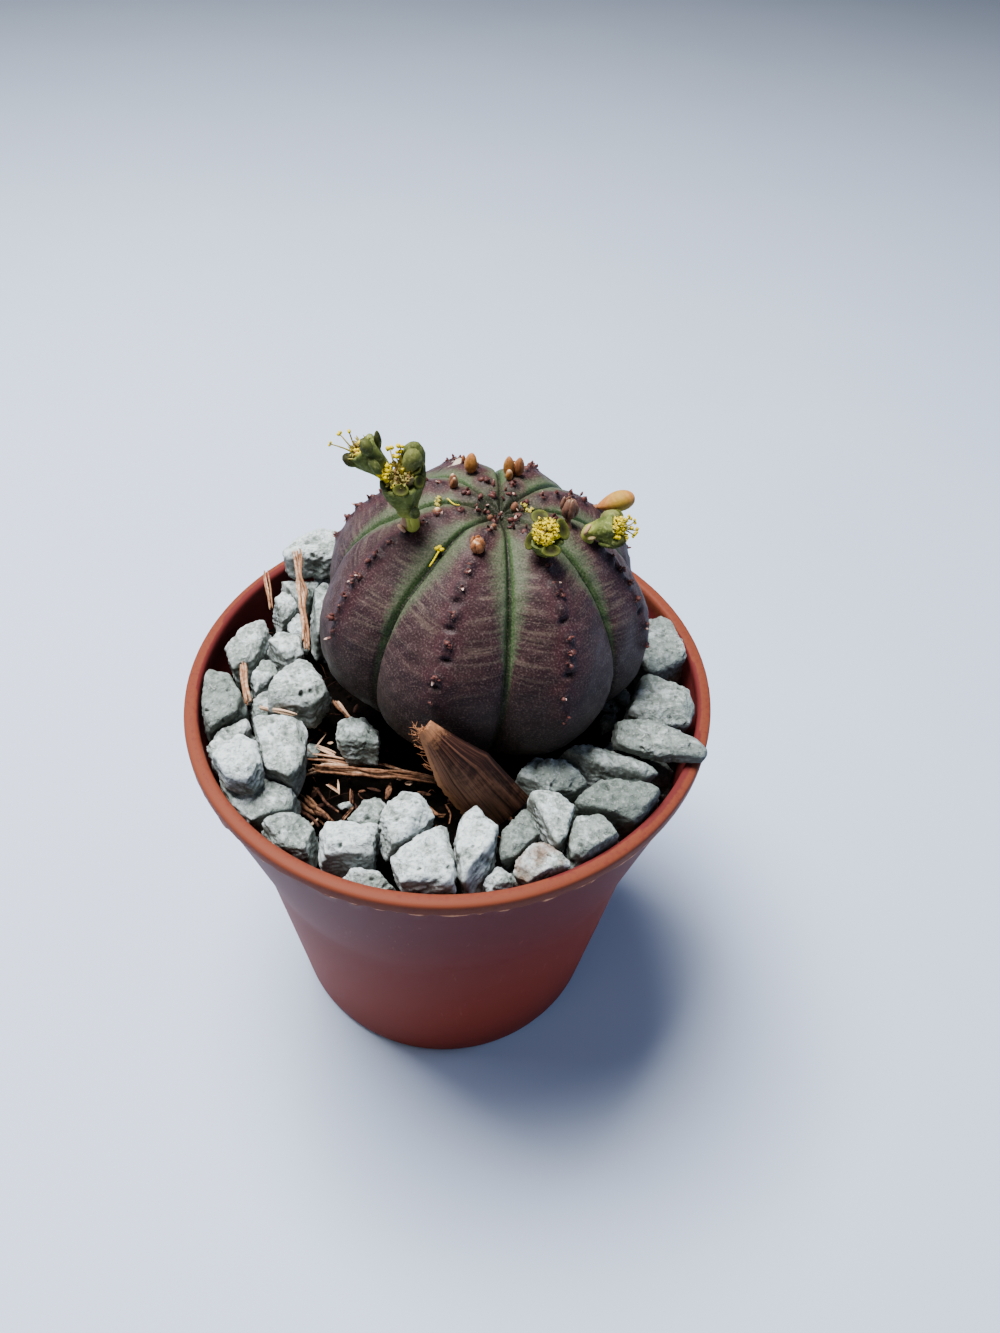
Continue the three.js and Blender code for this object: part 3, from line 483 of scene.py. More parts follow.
def peat(soil):
    """Damp peat: near black and matt, with drier red-brown crumbs standing up out of it."""
    material, tree, shader, spot, high = finish("peat", 0.95, 1.4, 0.08, "high")
    crumbs = add(tree, "TexNoise", spot, 1 / 0.5, 5, 0.7)
    dry = add(tree, "Math", crumbs, add(tree, "Math", high, 0.12, **TIMES), **PLUS)
    colour = layers(tree, tuple(soil.colour), (soil.dry, (dry, 0.56, 0.85)))
    coat(tree, shader, Base_Color=colour, Normal=add(tree, "Bump", 1.0, 0.3 * MM, None, crumbs))
    return material


def crumb_block(at, size, seed, rough=0.45):
    """A crumb: a small ball of rings whose radius follows noise."""
    rings = turned([(0.5, -0.8), (0.95, -0.3), (0.95, 0.3), (0.5, 0.8)], 6)
    rings = rings * (1 + rough * noise(rings * 1.7, 2.0, seed, 5)[..., None])
    return np.asarray(at) + rings * size


class MakeSoil(bpy.types.Operator):
    """Fills the pot with crumbly peat"""

    bl_idname = "baseball_plant.make_soil"
    bl_label = "Soil"

    def execute(self, context):
        soil, pot = context.scene.plant_soil, context.scene.plant_pot
        bottom, level = pot.floor / MM + 0.35, soil.level / MM
        side = [(soil_reach(z, pot), z) for z in np.linspace(bottom, level - 1, 14)]
        profile = [(2, bottom), (soil_reach(bottom, pot) - 1, bottom), *side]
        profile += [(r, level) for r in np.linspace(soil_reach(level, pot) - 0.15, 0.4, SOIL_RINGS)]
        rings = turned(profile, SOIL_SIDES)
        angle = np.arctan2(rings[..., 1], rings[..., 0])
        rings[..., :2] *= oval_at(angle, rings[..., 2], pot)[..., None]
        top = rings[..., 2] > level - 0.5
        x, y = rings[..., 0], rings[..., 1]
        lumps = 0.55 * noise(rings, 3.4, 21) + 0.4 * noise(rings, 1.5, 22) + 0.25 * noise(rings, 0.7, 23)
        edge = np.clip((soil_reach(level, pot) - np.hypot(x, y)) / FADE, 0, 1)
        surface = soil_height(x, y, soil) + soil.crumb / MM * lumps * edge - 0.25
        rings[..., 2] = np.where(top, surface, rings[..., 2])
        material = peat(soil)
        make_piece("soil_fill", [(rings, {"high": np.where(top, lumps, 0)})], material, ["soil"])
        plant = context.scene.plant_globe
        random = np.random.default_rng(31)
        crumbs = []
        for i in range(CRUMBS):
            r, a = STREWN * math.sqrt(random.uniform()), random.uniform(0, TURN)
            x, y = r * math.cos(a), r * math.sin(a)
            if math.hypot(x - plant.middle[0] / MM, y - plant.middle[1] / MM) < UNDER_GLOBE:
                continue
            size = random.uniform(*CRUMB_SIZES)
            rings = crumb_block((x, y, soil_height(x, y, soil) + 0.1), size, i)
            crumbs.append((rings, {"high": random.uniform(0, 2.2)}))
        make_piece("soil_crumbs", crumbs, material)
        return {"FINISHED"}


# ------------------------------------------------------------------ the gravel
def zeolite(gravel):
    """Crushed zeolite: chalky, matt and fine-grained, pale grey-green with lighter weathered faces, darker
    browner steep and downward faces, painted highlights on raised lumps, painted shade in hollows and pits,
    clusters of dark specks, and an iron stain on some stones."""
    names = ("tone", "stain", "lump", "side")
    material, tree, shader, spot, *marks = finish("crushed_zeolite", 0.95, 1.5, 0.15, *names)
    tone, stain, lump, side = marks
    patches = add(tree, "TexNoise", spot, 1 / 2.2, 5, 0.6)
    # Raised lumps are a little lighter: a painted highlight from the stone's relief.
    high = add(tree, "Math", patches, add(tree, "Math", lump, 0.06, **TIMES), **PLUS)
    high = add(tree, "Math", high, add(tree, "Math", tone, 0.16, **TIMES), **MINUS)
    # Grit: crystals of about 0.25 mm.
    grit = add(tree, "TexNoise", spot, 1 / 0.3, 4, 0.75)
    moved = add(tree, "Mapping", spot, None, (0.4, 0.9, 0.2), (1.0, 1.0, 1.7))
    clusters = add(tree, "TexNoise", moved, 1 / 0.9, 4, 0.65)
    darker = add(tree, "Math", tone, 0.12, **TIMES)
    specks = add(tree, "Math", add(tree, "Math", grit, clusters, **PLUS), darker, **PLUS)
    blotches = add(tree, "TexNoise", spot, 1 / 1.6, 4)
    brown = add(tree, "Math", blotches, add(tree, "Math", stain, 1.0, **MINUS), **PLUS)
    colour = layers(
        tree,
        tuple(gravel.colour),
        (gravel.light, (high, 0.42, 0.6)),
        (gravel.pits, (specks, 1.06, 1.3, 0, 0.85)),
        (linear("#dde4e6"), (grit, 0.5, 0.68, 0, 0.5)),
        (linear("#5c6763"), (grit, 0.3, 0.46, 0.45, 0)),
        # Painted shade in the hollows and pits of the stone's relief.
        (gravel.pits, (lump, -2.4, -0.7, 0.6, 0)),
        # Steep and downward faces are darker and browner.
        (linear("#57534a"), (side, 0.25, 0.9, 0, 0.7)),
        (gravel.stain, (brown, 0.35, 0.65, 0, 0.75)),
        (gravel.pits, (tone, 0.2, 1.4, 0, 0.5)),
    )
    pits = add(tree, "MapRange", add(tree, "TexNoise", spot, 1 / 0.6, 4, 0.7), 0.3, 0.52, **RAMP)
    under = add(tree, "Bump", 0.9, 0.07 * MM, None, pits)
    coat(tree, shader, Base_Color=colour, Normal=add(tree, "Bump", 1.0, 0.14 * MM, None, grit, under))
    return material


def stone_rings(node, gravel, seed, rows=60, columns=90):
    """A stone from its solid's face planes: in a direction d the radius is (sum of (n.d / h) ** edge) to the
    power -1 / edge, over the planes that face d; this is the flat-sided solid with worn edges. Lumps and pits
    are added."""
    mesh = node.data
    co = np.zeros(len(mesh.vertices) * 3)
    mesh.vertices.foreach_get("co", co)
    corners = np.zeros(len(mesh.loops), int)
    mesh.loops.foreach_get("vertex_index", corners)
    triangles = co.reshape(-1, 3)[corners.reshape(-1, 3)] / MM
    normals = np.cross(triangles[:, 1] - triangles[:, 0], triangles[:, 2] - triangles[:, 0])
    areas = np.linalg.norm(normals, axis=1)
    centre = (triangles.mean(1) * areas[:, None]).sum(0) / areas.sum()
    keep = areas > 1e-3
    normals, triangles = normals[keep] / areas[keep, None], triangles[keep]
    reach = (normals * (triangles[:, 0] - centre)).sum(1)
    planes = np.unique(np.round(np.column_stack([normals, reach]), 2), axis=0)
    latitude = np.radians(np.linspace(-88, 88, rows))[:, None]
    longitude = steps_round(columns)[None, :]
    east, north = np.cos(latitude) * np.cos(longitude), np.cos(latitude) * np.sin(longitude)
    ways = np.stack(np.broadcast_arrays(east, north, np.sin(latitude)), -1)
    facing = np.clip(ways @ planes[:, :3].T / np.maximum(planes[:, 3], 0.2), 0, None)
    radius = (facing**gravel.edge).sum(-1) ** (-1 / gravel.edge)
    at = centre + ways * radius[..., None]
    lumps = 0.8 * noise(at, 2.4, seed) + 0.5 * noise(at, 1.1, seed + 1) + 0.5 * noise(at, 0.55, seed + 2)
    pits = np.clip(noise(at, 1.1, seed + 3) - 1.15, 0, None)
    rings = at + ways * (gravel.roughness / MM * (lumps - 4 * pits))[..., None]
    slope = np.cross(np.roll(rings, -1, 1) - np.roll(rings, 1, 1), np.gradient(rings, axis=0))
    facing_up = slope[..., 2] / (np.linalg.norm(slope, axis=-1) + 1e-9)
    # The lump mark is the stone's relief; the material paints highlights on its bumps and shade in its pits.
    return rings, {"lump": lumps - 3 * pits, "side": np.clip(0.75 - 1.2 * facing_up, 0, 1)}


# How dark each stone is, where it isn't left to chance: 0 is plain, 1 is dark, and below 0 is light. The
# values were matched to how light or dark each stone looks where it lies, so they carry the stone's own tone
# together with painted light and shade.
TONES = {
    1: 0.8, 5: 0.1, 6: 0.7, 8: -0.5, 9: 0.0, 11: 0.45, 12: -0.8, 14: -0.2, 15: 0.5, 16: -0.4, 17: -0.45,
    18: 1.0, 22: 0.7, 23: 1.3, 24: 0.6, 25: 0.6, 26: 0.7, 27: 0.5, 28: 0.6,
}
# How much iron stain a stone has.
STAINS = {10: 0.25, 20: 1.0, 22: 0.75, 23: 0.7}
# Chips that lie in the open: place (three numbers), size and tone.
CHIPS = [
    (23.2, 7.2, 45.2, 1.5, 0.9), (16.9, -1.5, 44.3, 1.1, 0.3), (22.0, -7.9, 44.4, 1.6, 1.1),
    (7.8, -22.4, 45.4, 0.9, 0.6), (18.4, 2.6, 44.4, 1.2, 0.8), (-7.9, -16.2, 43.9, 0.5, -0.2),
    (-6.6, -15.3, 43.9, 0.4, 0.0),
]
# How many chips are strewn between the stones, in what ring, and how large they are.
LOOSE_CHIPS, CHIP_RING, CHIP_SIZES = 70, (15, 24.3), (0.35, 1.1)


class MakeGravel(bpy.types.Operator):
    """Roughens each gravel stone, and scatters chips between them"""

    bl_idname = "baseball_plant.make_gravel"
    bl_label = "Gravel"

    def execute(self, context):
        gravel, soil = context.scene.plant_gravel, context.scene.plant_soil
        material = zeolite(gravel)
        random = np.random.default_rng(5)
        names = sorted(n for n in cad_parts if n.startswith("stone_"))
        for name in names:
            number = int(name[-2:])
            rings, marks = stone_rings(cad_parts[name], gravel, 100 + 7 * number)
            tone = TONES.get(number, random.uniform(-0.2, 0.25))
            marks.update({"tone": tone, "stain": STAINS.get(number, 0.0)})
            make_piece("gravel_" + name[-2:], [(rings, marks)], material, [name])
        chips = []
        flat = {"lump": 0.0, "side": 0.2}
        for i in range(LOOSE_CHIPS):
            a, r = random.uniform(0, TURN), random.uniform(*CHIP_RING)
            x, y = r * math.cos(a), r * math.sin(a)
            size = random.uniform(*CHIP_SIZES)
            z = soil_height(x, y, soil) + 0.2 * size
            marks = {"tone": random.uniform(0, 1), "stain": random.uniform(0, 0.8), **flat}
            chips.append((crumb_block((x, y, z), size, 500 + i), marks))
        for i, (x, y, z, size, tone) in enumerate(CHIPS):
            marks = {"tone": tone, "stain": 0.6 * tone, **flat}
            chips.append((crumb_block((x, y, z), size, 580 + i, 0.3), marks))
        make_piece("gravel_chips", chips, material)
        return {"FINISHED"}


# ------------------------------------------------------------------ the plant
def crests(plant):
    """The direction of each rib's crest, midway between its furrows."""
    furrows = np.array(plant.furrows)
    return (furrows + np.append(furrows[1:], furrows[0] + TURN)) / 2


def turn_to(angle, targets):
    """Signed turn from the nearest of `targets` to each angle."""
    apart = angle[..., None] - np.asarray(targets)
    apart = (apart + math.pi) % TURN - math.pi
    nearest = np.abs(apart).argmin(-1)
    return np.take_along_axis(apart, nearest[..., None], -1)[..., 0], nearest


# Half the turn from one rib to the next, how sharp a furrow is, and how wide the sunken crown is.
HALF_RIB, FURROW_SHARPNESS, DIMPLE_RADIUS = math.pi / 8, 1.6, 3.7
# Millimetres of skin for each radian of latitude.
ARC = 15.5
# The latitudes (degrees) that the globe's rings cover, how many rings there are, and the steps round it.
GLOBE_SPAN, GLOBE_RINGS, GLOBE_SIDES = (-84, 89.4), 206, 472


def skin(latitude, longitude, plant):
    """The globe: its radius is cos(lat) * (1 - furrow depth * (1 - t) ** 1.6), where t goes from 0 at a
    furrow to 1 at a crest; its crown is sunken, and its axis leans."""
    latitude, longitude = np.broadcast_arrays(np.asarray(latitude, float), np.asarray(longitude, float))
    ring = plant.radius / MM * np.cos(latitude)
    height = np.sin(latitude) * np.where(latitude > 0, plant.up / MM, plant.down / MM)
    dimple = plant.dimple / MM * np.exp(-((ring / DIMPLE_RADIUS) ** 2))
    height = height - np.where(latitude > 0, dimple, 0)
    turn, _ = turn_to(longitude, plant.furrows)
    depth = (1 - np.minimum(1, np.abs(turn) / HALF_RIB)) ** FURROW_SHARPNESS
    radius = ring * (1 - plant.furrow_depth * depth)
    x, y = radius * np.cos(longitude), radius * np.sin(longitude)
    c, s = math.cos(plant.lean), math.sin(plant.lean)
    return np.stack([c * x + s * height, y, c * height - s * x], -1) + np.array(plant.middle) / MM


def on_skin(latitude, longitude, plant, above=0.0):
    """A spot on the skin, or above it, at a latitude and a longitude in degrees."""
    return skin(math.radians(latitude), math.radians(longitude), plant) + above * UP


def on_rib(rib, latitude, plant, offset=(0, 0, 0)):
    """A spot on a rib's crest, in degrees of latitude, moved by an offset."""
    return skin(math.radians(latitude), crests(plant)[rib], plant) + np.asarray(offset)


# For each rib, in degrees: the latitudes of its tubercles, those of its pits, and how far the row drifts.
TUBERCLE_ROWS = [
    ([82, 76, 70, 64, 57, 51, 45.5, 42.5, 36, 33, 27, 23.5, 18, 12.5], [48, 30.5], 6),
    ([82, 75, 70, 62, 58, 53.3, 44, 34, 23, 13], [49, 39, 29, 19], 1),
    ([82, 76, 61, 55.7, 52.2, 46.8, 37.5, 33, 28, 18, 7], [43, 24.5], -5),
    ([84, 78, 73, 55, 50, 44, 39, 32, 21, 12], [47, 27], -5),
    ([82, 75, 69, 63, 57, 43, 37, 31, 25, 17, 9], [34, 21], 0),
    ([82, 77, 66, 61, 55, 49, 43, 37, 30, 22, 13], [46, 26], 0),
    ([83, 76, 66, 61, 53, 47, 41, 35, 29, 21, 12], [38, 25], 0),
    ([82, 77, 67, 62, 56, 50, 44, 38, 31, 23, 14], [47, 27], 3),
]


def drift_at(latitude, drift):
    """How far a tubercle row has drifted sideways at a latitude."""
    return np.radians(drift) * np.clip((52 - np.degrees(latitude)) / 40, -0.3, 1)


def tubercles(plant):
    """Latitude, longitude and kind (1 a tubercle, 0 a pit) of every mark along the crests."""
    random = np.random.default_rng(8)
    marks = []
    for crest, (bumps, pits, drift) in zip(crests(plant), TUBERCLE_ROWS):
        for latitude, kind in [*((a, 1) for a in bumps), *((a, 0) for a in pits)]:
            latitude = math.radians(latitude + random.normal(0, 0.3))
            aside = drift_at(latitude, drift) + math.radians(random.normal(0, 0.6))
            marks.append((latitude, crest + aside, kind))
    return np.array(marks)


def euphorbia_skin(plant):
    """Waxy succulent skin: mauve-brown ribs with burgundy bands and thin pale streaks across them, grey-green
    margins that fray into the ribs, green furrows with a dark line, and fine papillae that give a velvet
    look."""
    names = ("furrow_mm", "crest_mm", "down_mm", "rise", "tubercle", "halo", "cork", "wrap_x", "wrap_y")
    material, tree, shader, spot, *marks = finish("euphorbia_skin", 0.58, 1.42, 0.2, *names)
    furrow, crest, down, rise, tubercle, halo, cork, wrap_x, wrap_y = marks
    # Patterns that follow the parallels are longer than tall, and rise a little towards the furrows.
    sloped = add(tree, "Math", down, add(tree, "Math", crest, 0.12, **TIMES), **PLUS)
    around = add(tree, "CombineXYZ", wrap_x, wrap_y, sloped)
    bands, hairs, fringe, rare = (
        add(tree, "TexNoise", add(tree, "Mapping", around, None, shift, stretch), scale, detail)
        for shift, stretch, scale, detail in (
            (None, (1, 1, 1.3), 1 / 1.7, 3),
            (None, (1, 1, 2.8), 1 / 1.0, 2),
            ((0, 0, 0.6), (1, 1, 2.6), 1 / 0.7, 3),
            ((3, 1, 7), (0.8, 0.8, 4.5), 1 / 1.1, 2),
        )
    )
    clouds = add(tree, "TexNoise", spot, 1 / 2.6, 4)
    papillae = add(tree, "TexNoise", spot, 1 / 0.17, 2)
    # Margins: widest at the top, narrow below the equator, with combed edges.
    wide = add(tree, "MapRange", rise, 0.58, 1.03, 0.25, 2.3, **RAMP)
    long = add(tree, "MapRange", rise, 0.45, 0.9, 0.4, 1.9, **RAMP)
    comb = add(tree, "Math", add(tree, "Math", fringe, 0.5, **MINUS), long, **TIMES)
    reach = add(tree, "Math", add(tree, "Math", furrow, comb, **PLUS), wide, operation="DIVIDE")
    thin = add(tree, "MapRange", rise, 0.6, 0.95, 0.5, 0.75, **RAMP)
    colour = layers(
        tree,
        tuple(plant.rib),
        (plant.rib_dark, (clouds, 0.3, 0.7, 0, 0.5)),
        (plant.rib_dark, (bands, 0.45, 0.62), (rise, 0.2, 0.75, 0.25, 0.9)),
        # Streaks fade towards the crest and towards the soil; a few others don't.
        (plant.streak, (hairs, 0.46, 0.72), (furrow, 1.2, 5.5, 0.34, 0.16), (rise, 0.35, 0.9, 0.12, 1.0)),
        (plant.streak, (rare, 0.64, 0.74, 0, 0.24)),
        (plant.margin, (reach, 0.3, 1.25, 1, 0), (rise, 0.25, 0.7, 0.0, 0.92)),
        (plant.furrow, (furrow, 0.08, thin, 1, 0), (rise, 0.4, 0.8, 0.12, 0.95)),
        # The dark line in the furrow.
        (linear("#0c120a"), (furrow, 0.05, 0.2, 0.9, 0)),
        # Burgundy skin round the tubercles, and near black at each tubercle's foot and in each pit: partly
        # darker skin, partly painted shade under the scales and in the hollows.
        (linear("#351c22"), (halo, 0.15, 0.7), (down, 1.5, 5.0, 0.2, 0.85)),
        (linear("#1c1118"), (tubercle, 0.08, 0.75, 0, 0.75)),
        # Dark green in the crown; olive-brown and near black low down, partly the older skin's colour and
        # partly painted shade that darkens it towards the soil.
        (linear("#141b0f"), (down, 0.6, 4.4, 0.9, 0)),
        (plant.low, (rise, 0.06, 0.78, 0.92, 0)),
        # Papillae: 0.2 mm apart, pale with dark between them.
        (linear("#8d7a76"), (papillae, 0.5, 0.75, 0, 0.22)),
        (linear("#120b0d"), (papillae, 0.3, 0.48, 0.5, 0)),
        (plant.cork, (cork, 0.3, 0.6)),
    )
    dull = add(tree, "MapRange", clouds, 0.3, 0.7, 0.5, 0.66, **RAMP)
    velvet = add(tree, "Bump", 0.8, 0.04 * MM, None, papillae)
    coat(tree, shader, Base_Color=colour, Roughness=dull, Normal=velvet)
    return material


class MakeGlobe(bpy.types.Operator):
    """Grows the ribbed globe with its creases, tubercle cushions and pits"""

    bl_idname = "baseball_plant.make_globe"
    bl_label = "Globe"

    def execute(self, context):
        plant = context.scene.plant_globe
        latitude = np.radians(np.linspace(*GLOBE_SPAN, GLOBE_RINGS))[:, None]
        longitude = np.linspace(-math.pi, math.pi, GLOBE_SIDES, endpoint=False)[None, :]
        rings = skin(latitude, longitude, plant)
        latitude, longitude = np.broadcast_arrays(latitude, longitude)
        across = np.roll(rings, -1, 1) - np.roll(rings, 1, 1)
        normal = np.cross(across, np.gradient(rings, axis=0))
        normal /= np.linalg.norm(normal, axis=-1, keepdims=True) + 1e-9
        ring = plant.radius / MM * np.cos(latitude)
        turn, _ = turn_to(longitude, plant.furrows)
        furrow = np.abs(turn) * ring
        apart, rib = turn_to(longitude, crests(plant))
        drift = np.array([drift for _, _, drift in TUBERCLE_ROWS])[rib]
        crest = np.abs(apart - drift_at(latitude, drift)) * ring
        down = (math.pi / 2 - latitude) * ARC
        # A tubercle is a small bump on a low cushion, and a pit is a hollow in a low mound; each is a sum of
        # bells exp(-far), with far the square of the distance along the skin.
        # near marks each tubercle and pit, where the skin is painted near black, partly as painted shade.
        near, halo, bump = np.zeros_like(ring), np.zeros_like(ring), np.zeros_like(ring)
        for a, b, kind in tubercles(plant):
            turn = (longitude - b + math.pi) % TURN - math.pi
            if kind:
                far = ((latitude - a) * ARC) ** 2 + (turn * ring) ** 2
                near = np.maximum(near, np.exp(-far / 0.5))
                halo = np.maximum(halo, np.exp(-far / 2.2))
                bump += 0.26 * np.exp(-far / 0.22) + 0.09 * np.exp(-far / 1.6)
            else:
                far = ((latitude - a) * ARC / 0.62) ** 2 + (turn * ring / 1.15) ** 2
                near = np.maximum(near, np.exp(-far / 0.5))
                bump += 0.1 * np.exp(-far / 1.6) - 0.6 * np.exp(-far / 0.15)
        fade = np.clip((np.degrees(latitude) + 55) / 40, 0, 1)
        wide = 0.34 - 0.24 * np.clip((np.degrees(latitude) - 50) / 25, 0, 1)
        crease = (plant.crease / MM * np.exp(-((furrow / 0.22) ** 2)) + wide * np.exp(-furrow / 0.9)) * fade
        ridge = 0.08 * np.exp(-((crest / 0.9) ** 2)) * fade
        swell = 0.1 * noise(rings, 7, 41) + 0.03 * noise(rings, 1.8, 42)
        rings = rings + normal * (bump + ridge - crease + swell)[..., None]
        rise = (rings[..., 2] - rings[..., 2].min()) / np.ptp(rings[..., 2])
        scar = on_rib(6, 56, plant)
        patch = np.linalg.norm(rings - scar, axis=-1) + 0.35 * noise(rings, 0.9, 43)
        data = {
            "furrow_mm": furrow, "crest_mm": crest, "down_mm": down,
            "rise": rise, "tubercle": near, "halo": halo,
            "wrap_x": 3.5 * np.cos(longitude), "wrap_y": 3.5 * np.sin(longitude),
            "cork": np.clip(1.6 - patch, 0, 1),
        }
        # The root neck is bare skin, far from every furrow and crest.
        neck = turned([(2.3, 35), (3.9, 38), (4.6, 43.3), (4.7, 45.5)], 32, (*NECK_AT, 0))
        plain = {**dict.fromkeys(data, 0.0), "furrow_mm": 3.0, "crest_mm": 3.0, "down_mm": 30.0}
        make_piece("globe", [(rings, data), (neck, plain)], euphorbia_skin(plant), ["plant"])
        return {"FINISHED"}


def horny_tubercle():
    """Tubercle tissue: dark at the foot, red-brown and horny above, bleached pinkish white at a few tips."""
    material, tree, shader, spot, tip = finish("horny_tubercle", 0.55, 1.45, 0.4, "tip")
    grime = add(tree, "Math", add(tree, "TexNoise", spot, 1 / 0.25, 3), 0.4, **TIMES)
    tip = add(tree, "Math", tip, grime, **PLUS)
    colour = layers(
        tree,
        linear("#1d0c10"),
        (linear("#4b2420"), (tip, 0.25, 0.6)),
        (linear("#b89c90"), (tip, 0.75, 1.1)),
    )
    rough = add(tree, "TexNoise", spot, 1 / 0.2, 3)
    coat(tree, shader, Base_Color=colour, Normal=add(tree, "Bump", 1.0, 0.05 * MM, None, rough))
    return material


def scale_rings(at, to, length, width, flat, bend=0.0, sides=7, blunt=0.7, belly=0.8):
    """A scale: a spindle whose width is sin(pi t ** belly) ** blunt, flattened, its tip bent by `bend`."""
    t = 0.5 - 0.5 * np.cos(np.linspace(0.35, math.pi - 0.15, 8))
    width = width / 2 * np.sin(math.pi * t**belly) ** blunt + 0.01
    rings = turned(np.stack([width, t * length], 1), sides, at, to, flat)
    rings[..., 2] += bend * (t**2)[:, None]
    return rings, t[:, None]


CROWN_SCALES = 14


class MakeTubercles(bpy.types.Operator):
    """Sets horny scales on each tubercle and in the crown"""

    bl_idname = "baseball_plant.make_tubercles"
    bl_label = "Tubercles"

    def execute(self, context):
        plant = context.scene.plant_globe
        random = np.random.default_rng(12)
        blocks = []
        for latitude, longitude, kind in tubercles(plant):
            if not kind:
                continue
            here = skin(latitude, longitude, plant)
            east = skin(latitude, longitude + 0.02, plant) - here
            north = skin(latitude + 0.02, longitude, plant) - here
            out = np.cross(east, north)
            out /= np.linalg.norm(out)
            size = random.uniform(0.8, 1.2)
            here = here + out * 0.12
            for i in range(3):
                lump = here + out * 0.1 * i + random.normal(0, 0.14, 3) * [1, 1, 0.5]
                rings = crumb_block(lump, random.uniform(0.22, 0.33) * size, 900 + len(blocks), 0.35)
                blocks.append((rings, {"tip": 0.05 + 0.2 * i}))
            for _ in range(random.integers(1, 4)):
                shift, pale = random.normal(0, 0.16, 3), random.uniform() < 0.28
                way = out + random.normal(0, 0.4, 3) + [0, 0, -0.7 if pale and latitude < 1 else 0.2]
                long, wide = 0.5 * size * (1.35 if pale else 1), 0.3 * size
                rings, t = scale_rings(here + shift + 0.15 * out, way, long, wide, 0.6)
                blocks.append((rings, {"tip": 0.2 + t * (0.9 if pale else 0.35)}))
        for _ in range(CROWN_SCALES):
            at = skin(math.radians(random.uniform(78, 89)), random.uniform(-math.pi, math.pi), plant)
            way = UP + random.normal(0, 0.4, 3)
            rings, t = scale_rings(at, way, random.uniform(0.4, 0.9), random.uniform(0.25, 0.5), 0.7)
            blocks.append((rings, {"tip": 0.05 + 0.55 * t * random.uniform(0.2, 1.7)}))
            crumb = crumb_block(at, random.uniform(0.15, 0.3), 1100 + len(blocks), 0.35)
            blocks.append((crumb, {"tip": 0.0}))
        make_piece("tubercle_scales", blocks, horny_tubercle())
        return {"FINISHED"}


# ------------------------------------------------------------------ the husk and the litter
# Where the husk's tip and foot are, the way that it faces, its steps along and round, and how many hairs hang
# from its torn margin.
HUSK_TOP, HUSK_FOOT = np.array([-1.6, -14.9, 57.6]), np.array([5.6, -15, 44.6])
HUSK_FACE = np.array([0.34, -0.91, 0.22]) / np.linalg.norm([0.34, -0.91, 0.22])
HUSK_STEPS, HUSK_HAIRS = 120, 46


def husk_point(t, s, lift=0.0):
    """A spot on the scooped strip: t from tip to foot, s from the left edge (-1) to the right edge (1)."""
    t, s = np.broadcast_arrays(np.asarray(t, float), np.asarray(s, float))
    along = HUSK_FOOT - HUSK_TOP
    across = np.cross(HUSK_FACE, along / np.linalg.norm(along))
    half = np.where(s > 0, 2.7 + 1.2 * t, 2.3) * np.minimum(1, 0.3 + 1.6 * t)
    bow = 1.1 * (1 - s * s) * np.sin(math.pi * (0.15 + 0.7 * t)) + 0.5 * np.sin(math.pi * t) + lift
    return HUSK_TOP + t[..., None] * along + (s * half)[..., None] * across + bow[..., None] * HUSK_FACE


def dry_husk(litter):
    """A dry bulb scale: dark red-brown with a painted highlight along its fine ridges and painted shade
    between them, mottled grey-brown low down and towards the left, its right half left darker as painted
    shade, and pale tan along its torn left margin and at its tip."""
    names = ("along", "across", "lines")
    material, tree, shader, spot, along, across, lines = finish("dry_husk", 0.62, 1.5, 0.15, *names)
    mottle = add(tree, "TexNoise", spot, 1 / 0.7, 5, 0.65)
    # Painted shade: the mottled brown reaches less far over the right half, which stays darker.
    aside = add(tree, "Math", across, 0.55, **TIMES)
    low = add(tree, "Math", add(tree, "Math", along, mottle, **PLUS), aside, **MINUS)
    # Fine grain: some forty threads across the husk.
    over, down = add(tree, "Math", across, 22.0, **TIMES), add(tree, "Math", along, 2.5, **TIMES)
    grain = add(tree, "TexNoise", add(tree, "CombineXYZ", over, down, 0.0), 1.0, 3, 0.6)
    ragged = add(tree, "Math", add(tree, "Math", mottle, 0.5, **MINUS), 0.3, **TIMES)
    edge = add(tree, "MapRange", add(tree, "Math", ragged, across, **MINUS), 0.66, 0.9, 0, 0.85, **RAMP)
    tip = add(tree, "MapRange", add(tree, "Math", along, ragged, **PLUS), 0.02, 0.16, 0.95, 0, **RAMP)
    colour = layers(
        tree,
        tuple(litter.husk),
        (litter.husk_low, (low, 0.62, 1.15)),
        # Painted highlight on the ridge tops, and painted shade in the grooves between them.
        (linear("#835843"), (lines, 0.0, 1.3, 0, 0.6)),
        (linear("#140806"), (lines, -1.4, -0.1, 0.85, 0)),
        (linear("#1c0d08"), (grain, 0.35, 0.5, 0.6, 0)),
        (linear("#94654c"), (grain, 0.52, 0.7, 0, 0.28)),
        (litter.husk_edge, (add(tree, "Math", edge, tip, operation="MAXIMUM"),)),
    )
    rough = add(tree, "Math", mottle, grain, **PLUS)
    coat(tree, shader, Base_Color=colour, Normal=add(tree, "Bump", 1.0, 0.06 * MM, None, rough))
    return material


